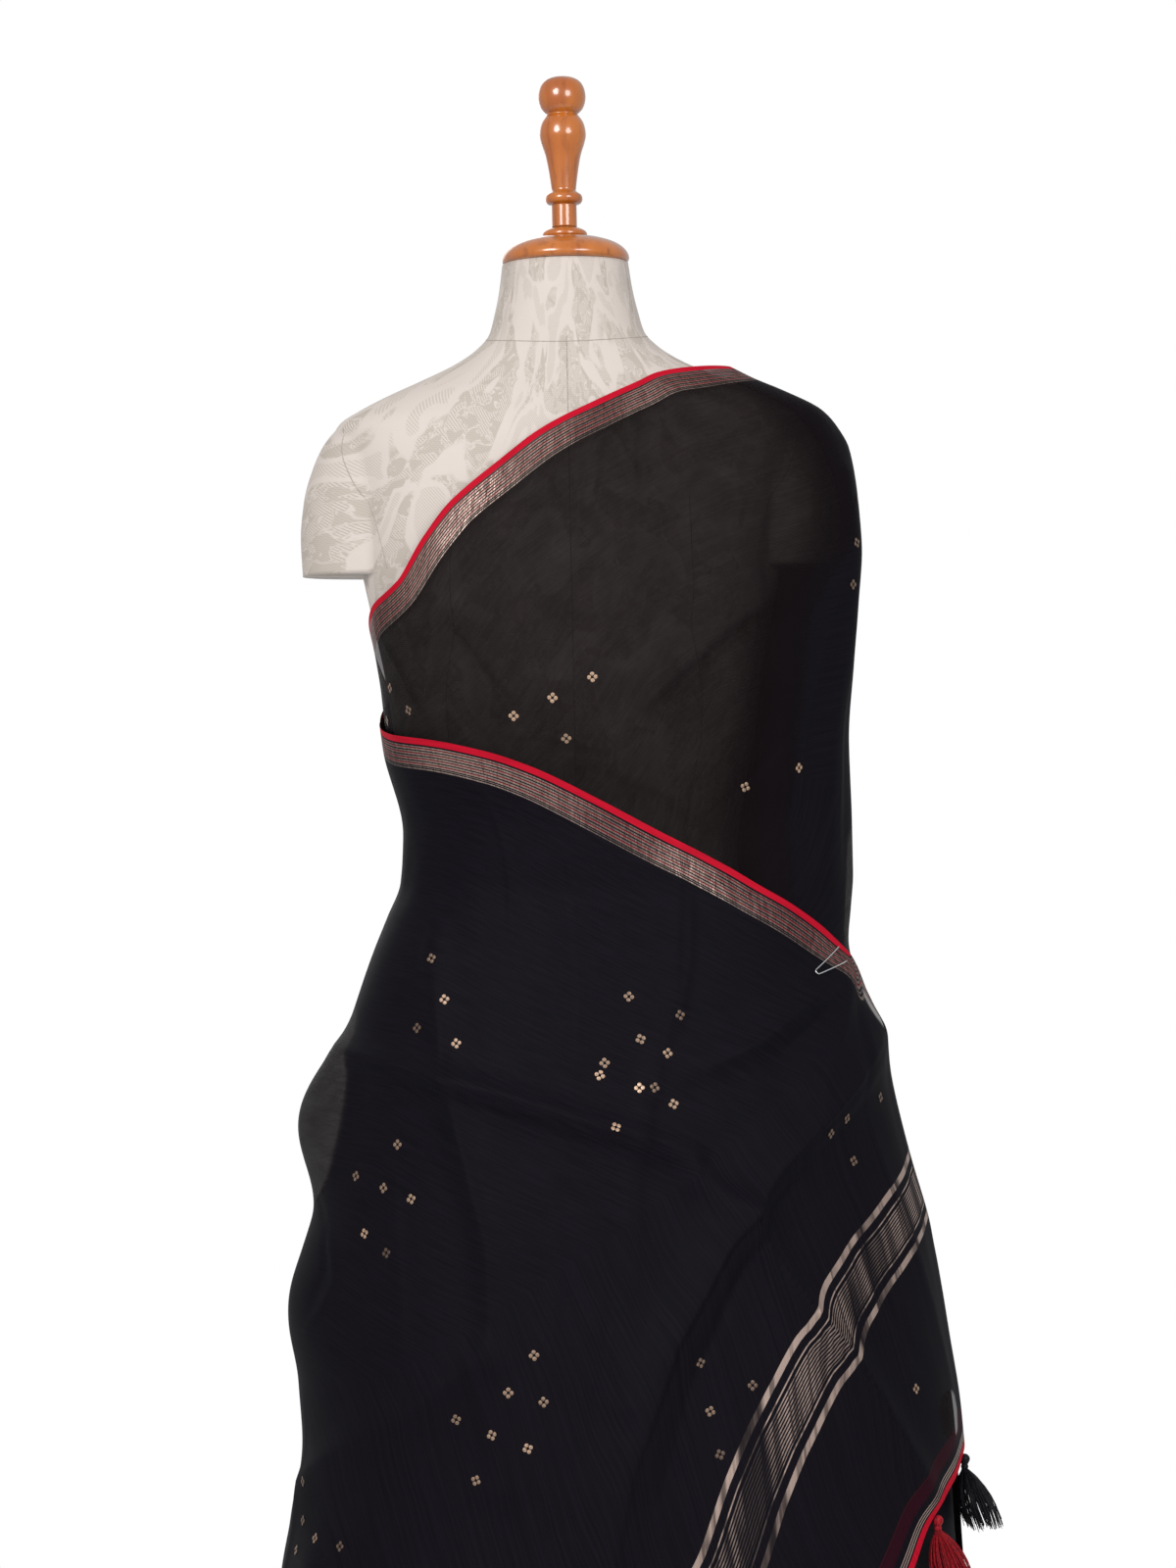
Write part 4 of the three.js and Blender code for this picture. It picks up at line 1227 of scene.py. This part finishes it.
STRANDS = 190
STRAND_RADIUS = 0.42
STRAND_LENGTH = 46
STRAND_SPREAD = 20.5
STRAND_LEAN = 14
STRAND_DEPTH = 0.68       # of a tassel's width
GOLDEN_ANGLE = 2.39996    # turn from one strand to the next
TASSEL_HEAD = [
    (2.0, -12.0), (3.3, -10.5), (2.9, -8.6), (2.5, -7.4), (2.9, -6.6), (2.9, -5.0),
    (2.5, -4.2), (3.1, -3.0), (4.2, -0.8), (4.1, 1.6), (2.4, 3.7), (0.3, 4.4),
]


def build_tassel(name, head, material, seed):
    """A round head, a wound neck and many fine strands that belly out and hang, off the skirt behind."""
    rng = np.random.default_rng(seed)
    builder = Builder()
    outward = np.array([head[0], head[1], 0.0])
    outward /= np.linalg.norm(outward)
    sideways = np.array([-outward[1], outward[0], 0.0])
    points, faces = lathe(rounded(TASSEL_HEAD, 3), 14)
    builder.add(points + head, faces)
    for strand in range(STRANDS):
        turn = strand * GOLDEN_ANGLE + rng.uniform(-0.15, 0.15)
        spread = np.sqrt((strand + 0.5) / STRANDS)
        length = STRAND_LENGTH * rng.uniform(0.86, 1.04)
        side = np.cos(turn) * spread
        front_share = np.sin(turn) * spread
        curl = rng.uniform(-1.4, 1.4, 2)
        path = []
        for t in np.linspace(0, 1, 7):
            belly = 2.2 + STRAND_SPREAD * np.sin(min(t * 1.35, 1) * np.pi / 2) ** 0.8
            point = head + np.array([0, 0, -7 - length * t])
            point = point + sideways * (side * belly + curl[0] * t * t)
            point = point + outward * (front_share * belly * STRAND_DEPTH + STRAND_LEAN * t + curl[1] * t * t)
            path.append(point)
        points, faces = tube_points(path, np.linspace(STRAND_RADIUS, STRAND_RADIUS * 0.75, 7), 3, turn)
        builder.add(points, faces)
    piece = builder.build(f"{name}_threads", material)
    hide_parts(name)
    return piece


for number, head in enumerate(tassel_heads(), start=1):
    thread = black_thread if number % 2 else red_thread
    build_tassel(f"tassel_{number:02d}", head, thread, SEED + 100 + number)


# The safety pin

PIN_RADIUS = 0.5
PIN_BEND = 1.7
PIN_LEG = 37
PIN_UPPER = 27
PIN_LOWER = 14
PIN_ANGLE = 339.4
PIN_HEIGHT = 1012
PIN_ARC = 3.7             # length round the drape for one degree, at the pin
PIN_LIFT = 0.6


def pin_leg(slope, side, shares):
    """Places along a straight leg, beside the middle of the bend."""
    places = []
    for share in shares:
        reach = PIN_LEG * share
        x = reach * np.cos(slope) + PIN_BEND * np.cos(side)
        z = reach * np.sin(slope) + PIN_BEND * np.sin(side)
        places.append((x, z, 0.0))
    return places


def build_pin():
    """A bright wire of two legs that open from a small round bend."""
    upper = np.radians(PIN_UPPER)
    lower = np.radians(PIN_LOWER)
    route = pin_leg(upper, upper + np.pi / 2, np.linspace(1, 0, 16))
    first = upper + np.pi / 2
    last = lower - np.pi / 2 + 2 * np.pi
    for t in np.linspace(0, 1, 26)[1:-1]:
        angle = first + (last - first) * t
        route.append((PIN_BEND * np.cos(angle), PIN_BEND * np.sin(angle), PIN_LIFT * np.sin(np.pi * t)))
    route += pin_leg(lower, lower - np.pi / 2, np.linspace(0, 0.92, 16))
    path = []
    for x, z, lift in route:
        degrees = PIN_ANGLE + x / PIN_ARC
        place = place_on(front_radius, degrees, PIN_HEIGHT + z)
        out = tangents_on(front_radius, degrees, PIN_HEIGHT + z)[2]
        path.append(place + out * (PIN_RADIUS + PIN_LIFT + lift))
    points, faces = tube_points(path, PIN_RADIUS, 8)
    piece = make_object("safety_pin_wire", points, faces, pin_steel)
    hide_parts("safety_pin")
    return piece


build_pin()


# The dress form and its stand

def neck_seam(degrees):
    sine = np.sin(np.radians(degrees))
    return 1517 + 6 * sine - 3 * np.abs(sine)


def build_cover():
    """The damask cover from the underside of the form to the top of its neck."""
    near = np.concatenate([np.arange(0, 34, 1.0), np.arange(34, 90, 2.0)])
    half = np.unique(np.concatenate([near, 180 - near[1:]]))
    angles = np.concatenate([half, half + 180])
    heights = np.concatenate([
        np.linspace(FORM_BOTTOM, SHOULDER_END - 0.4, 110),
        np.linspace(SHOULDER_END + 0.4, CAP_RIM - 0.4, 86),
    ])
    degrees = np.repeat(angles[:, None], len(heights), axis=1)
    height = np.repeat(heights[None, :], len(angles), axis=0)
    points = place_on(form_radius, degrees, height).reshape(-1, 3)
    faces = grid_faces(len(angles), len(heights), True)
    rows = len(heights)
    under = [i * rows for i in reversed(range(len(angles)))]
    over = [i * rows + rows - 1 for i in range(len(angles))]
    piece = make_object("form_damask_cover", points, faces + [under, over], damask)
    add_uv(piece, degrees * FORM_ARC, height)
    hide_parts("form_torso", "form_neck")
    return piece


SEAM_WIDTH = 0.7
MIDDLE_SEAMS = [
    [(270, 1512), (270, 1470), (270, 1400), (270, 1200), (270, 1000), (270, 805)],
    [(90, 1520), (90, 1400), (90, 1200), (90, 1000), (90, 805)],
]
RIGHT_SEAMS = [
    [(316, 1383), (309, 1281), (311, 1256), (317, 1195), (318, 1100), (316, 960), (315, 805)],
    [(352, 1446), (346, 1410), (340, 1370), (335, 1333)],
    [(8, 1446), (14, 1410), (20, 1370), (24, 1333)],
]


def build_seams():
    """The cover's seams: thin cords, half sunk in the cover."""
    builder = Builder()
    routes = list(MIDDLE_SEAMS)
    for route in RIGHT_SEAMS:
        mirrored = [((540 - degrees) % 360, height) for degrees, height in route]
        routes += [route, mirrored]
    for route in routes:
        route = np.array(route, float)
        steps = np.hypot(np.diff(route[:, 0]) * FORM_ARC, np.diff(route[:, 1]))
        length = np.concatenate([[0], np.cumsum(steps)])
        fine = np.linspace(0, length[-1], max(12, int(length[-1] / 5)))
        degrees = np.interp(fine, length, route[:, 0])
        height = np.interp(fine, length, route[:, 1])
        path = place_on(form_radius, degrees, height)
        points, faces = tube_points(path, SEAM_WIDTH / 2, 6)
        builder.add(points, faces)
    ring = np.linspace(0, 360, 121)
    path = place_on(form_radius, ring, neck_seam(ring))
    points, faces = tube_points(path, SEAM_WIDTH / 2, 6)
    builder.add(points, faces)
    piece = builder.build("form_seam_cords", seam_thread)
    return piece


# Turned pieces: rows of radius and height above the piece's own foot
NECK_CAP = [
    (4, 0), (48, 0), (48, 0), (50.4, 1.6), (51, 4.4), (49.6, 8.2), (46, 12.2), (40, 15.8), (31, 18.8),
    (23, 20.2), (17, 20.8), (17, 20.8), (18, 22.4), (17.6, 24.8), (15.2, 26.8), (11, 28.4), (11, 28.4),
    (3, 28.7),
]
FINIAL = [
    (3, 0), (10.1, 0), (10.1, 0), (10.1, 9), (10.1, 18), (10.1, 18), (13.4, 19.2), (14.9, 22),
    (14.2, 25.4), (11.4, 27.6), (9.7, 29), (9.7, 29), (11.6, 43), (14.2, 57), (17.4, 67), (18.7, 74),
    (17, 83), (12.2, 90), (12.2, 90), (16.6, 94.5), (18.9, 101), (18.6, 108.5), (15.6, 115),
    (9.6, 118.8), (1, 120),
]
BASE_STEP = BASE_RADIUS - 8
BASE = [
    (6, 0), (BASE_RADIUS - 3, 0), (BASE_RADIUS - 3, 0), (BASE_RADIUS, 3), (BASE_RADIUS + 0.6, 7),
    (BASE_RADIUS, 11), (BASE_RADIUS - 4, 14), (BASE_STEP, 15), (BASE_STEP, 15), (110, 17), (60, 19),
    (38, 21.5), (30, 24), (30, 24), (17, 24.2),
]
POLE_BOTTOM = 24.3
POLE_TOP = FORM_BOTTOM - 0.3
POLE = [
    (3, POLE_BOTTOM), (POLE_RADIUS, POLE_BOTTOM), (POLE_RADIUS, POLE_BOTTOM), (POLE_RADIUS, 240),
    (POLE_RADIUS, 520), (POLE_RADIUS, POLE_TOP), (POLE_RADIUS, POLE_TOP), (3, POLE_TOP),
]


def build_turned(name, node, profile, foot, sides, material):
    points, faces = lathe(rounded(np.array(profile) + (0, foot)), sides)
    piece = make_object(name, points, faces, material)
    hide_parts(node)
    return piece


build_cover()
build_seams()
build_turned("neck_cap_wood", "neck_cap", NECK_CAP, CAP_RIM, 96, wood)
build_turned("finial_wood", "finial", FINIAL, FINIAL_FOOT, 64, wood)
build_turned("stand_base_wood", "stand_base", BASE, 0, 120, wood)
build_turned("stand_pole_steel", "stand_pole", POLE, 0, 40, steel)


# The room and the camera


FLOOR = [(5, -4), (1600, -4), (1600, 0), (5, 0)]
LIGHTS = [                # name, place and target in metres, size and power
    ("key", (-1.5, -2.9, 2.7), (0, 0, 1.1), 1.5, 78),
    ("fill", (1.7, -2.9, 2.2), (0, 0, 1.0), 1.5, 50),
    ("back", (-1.2, 3.2, 2.4), (0, 0, 1.0), 2.6, 22),
]


def build_floor():
    points, faces = lathe(FLOOR, 96)
    mesh = bpy.data.meshes.new("studio_floor")
    mesh.from_pydata((points * MM).tolist(), [], faces)
    mesh.materials.append(floor_material())
    floor = bpy.data.objects.new("studio_floor", mesh)
    bpy.context.scene.collection.objects.link(floor)


def add_light(name, location, target, size, energy):
    light = bpy.data.lights.new(name, "AREA")
    light.shape = "DISK"
    light.size = size
    light.energy = energy
    lamp = bpy.data.objects.new(name, light)
    lamp.location = location
    lamp.rotation_euler = (Vector(target) - Vector(location)).to_track_quat("-Z", "Y").to_euler()
    bpy.context.scene.collection.objects.link(lamp)


AMBIENT = 0.55            # the room's even light; the backdrop itself is white


def build_room():
    build_floor()
    world = bpy.data.worlds.new("studio")
    world.use_nodes = True
    nodes = world.node_tree.nodes
    links = world.node_tree.links
    backdrop = nodes["Background"]
    backdrop.inputs["Color"].default_value = (1, 1, 1, 1)
    backdrop.inputs["Strength"].default_value = 1.0
    ambient = nodes.new("ShaderNodeBackground")
    ambient.inputs["Color"].default_value = (0.97, 0.98, 1, 1)
    ambient.inputs["Strength"].default_value = AMBIENT
    path = nodes.new("ShaderNodeLightPath")
    choice = nodes.new("ShaderNodeMixShader")
    links.new(path.outputs["Is Camera Ray"], choice.inputs[0])
    links.new(ambient.outputs[0], choice.inputs[1])
    links.new(backdrop.outputs[0], choice.inputs[2])
    links.new(choice.outputs[0], nodes["World Output"].inputs["Surface"])
    bpy.context.scene.world = world
    bpy.context.scene.view_settings.view_transform = "Standard"
    for light in LIGHTS:
        add_light(*light)


CAMERA_PLACE = (0.00916, -2.818, 1.162)
CAMERA_LEAN = 1.249       # degrees, clockwise
CAMERA_LENS = 81.3


def build_camera():
    camera = bpy.data.cameras.new("camera")
    camera.sensor_width = 36
    camera.lens = CAMERA_LENS
    camera.clip_start = 0.05
    view = bpy.data.objects.new("camera", camera)
    view.location = CAMERA_PLACE
    view.rotation_euler = (np.radians(90), np.radians(CAMERA_LEAN), 0)
    bpy.context.scene.collection.objects.link(view)
    bpy.context.scene.camera = view


build_room()
build_camera()
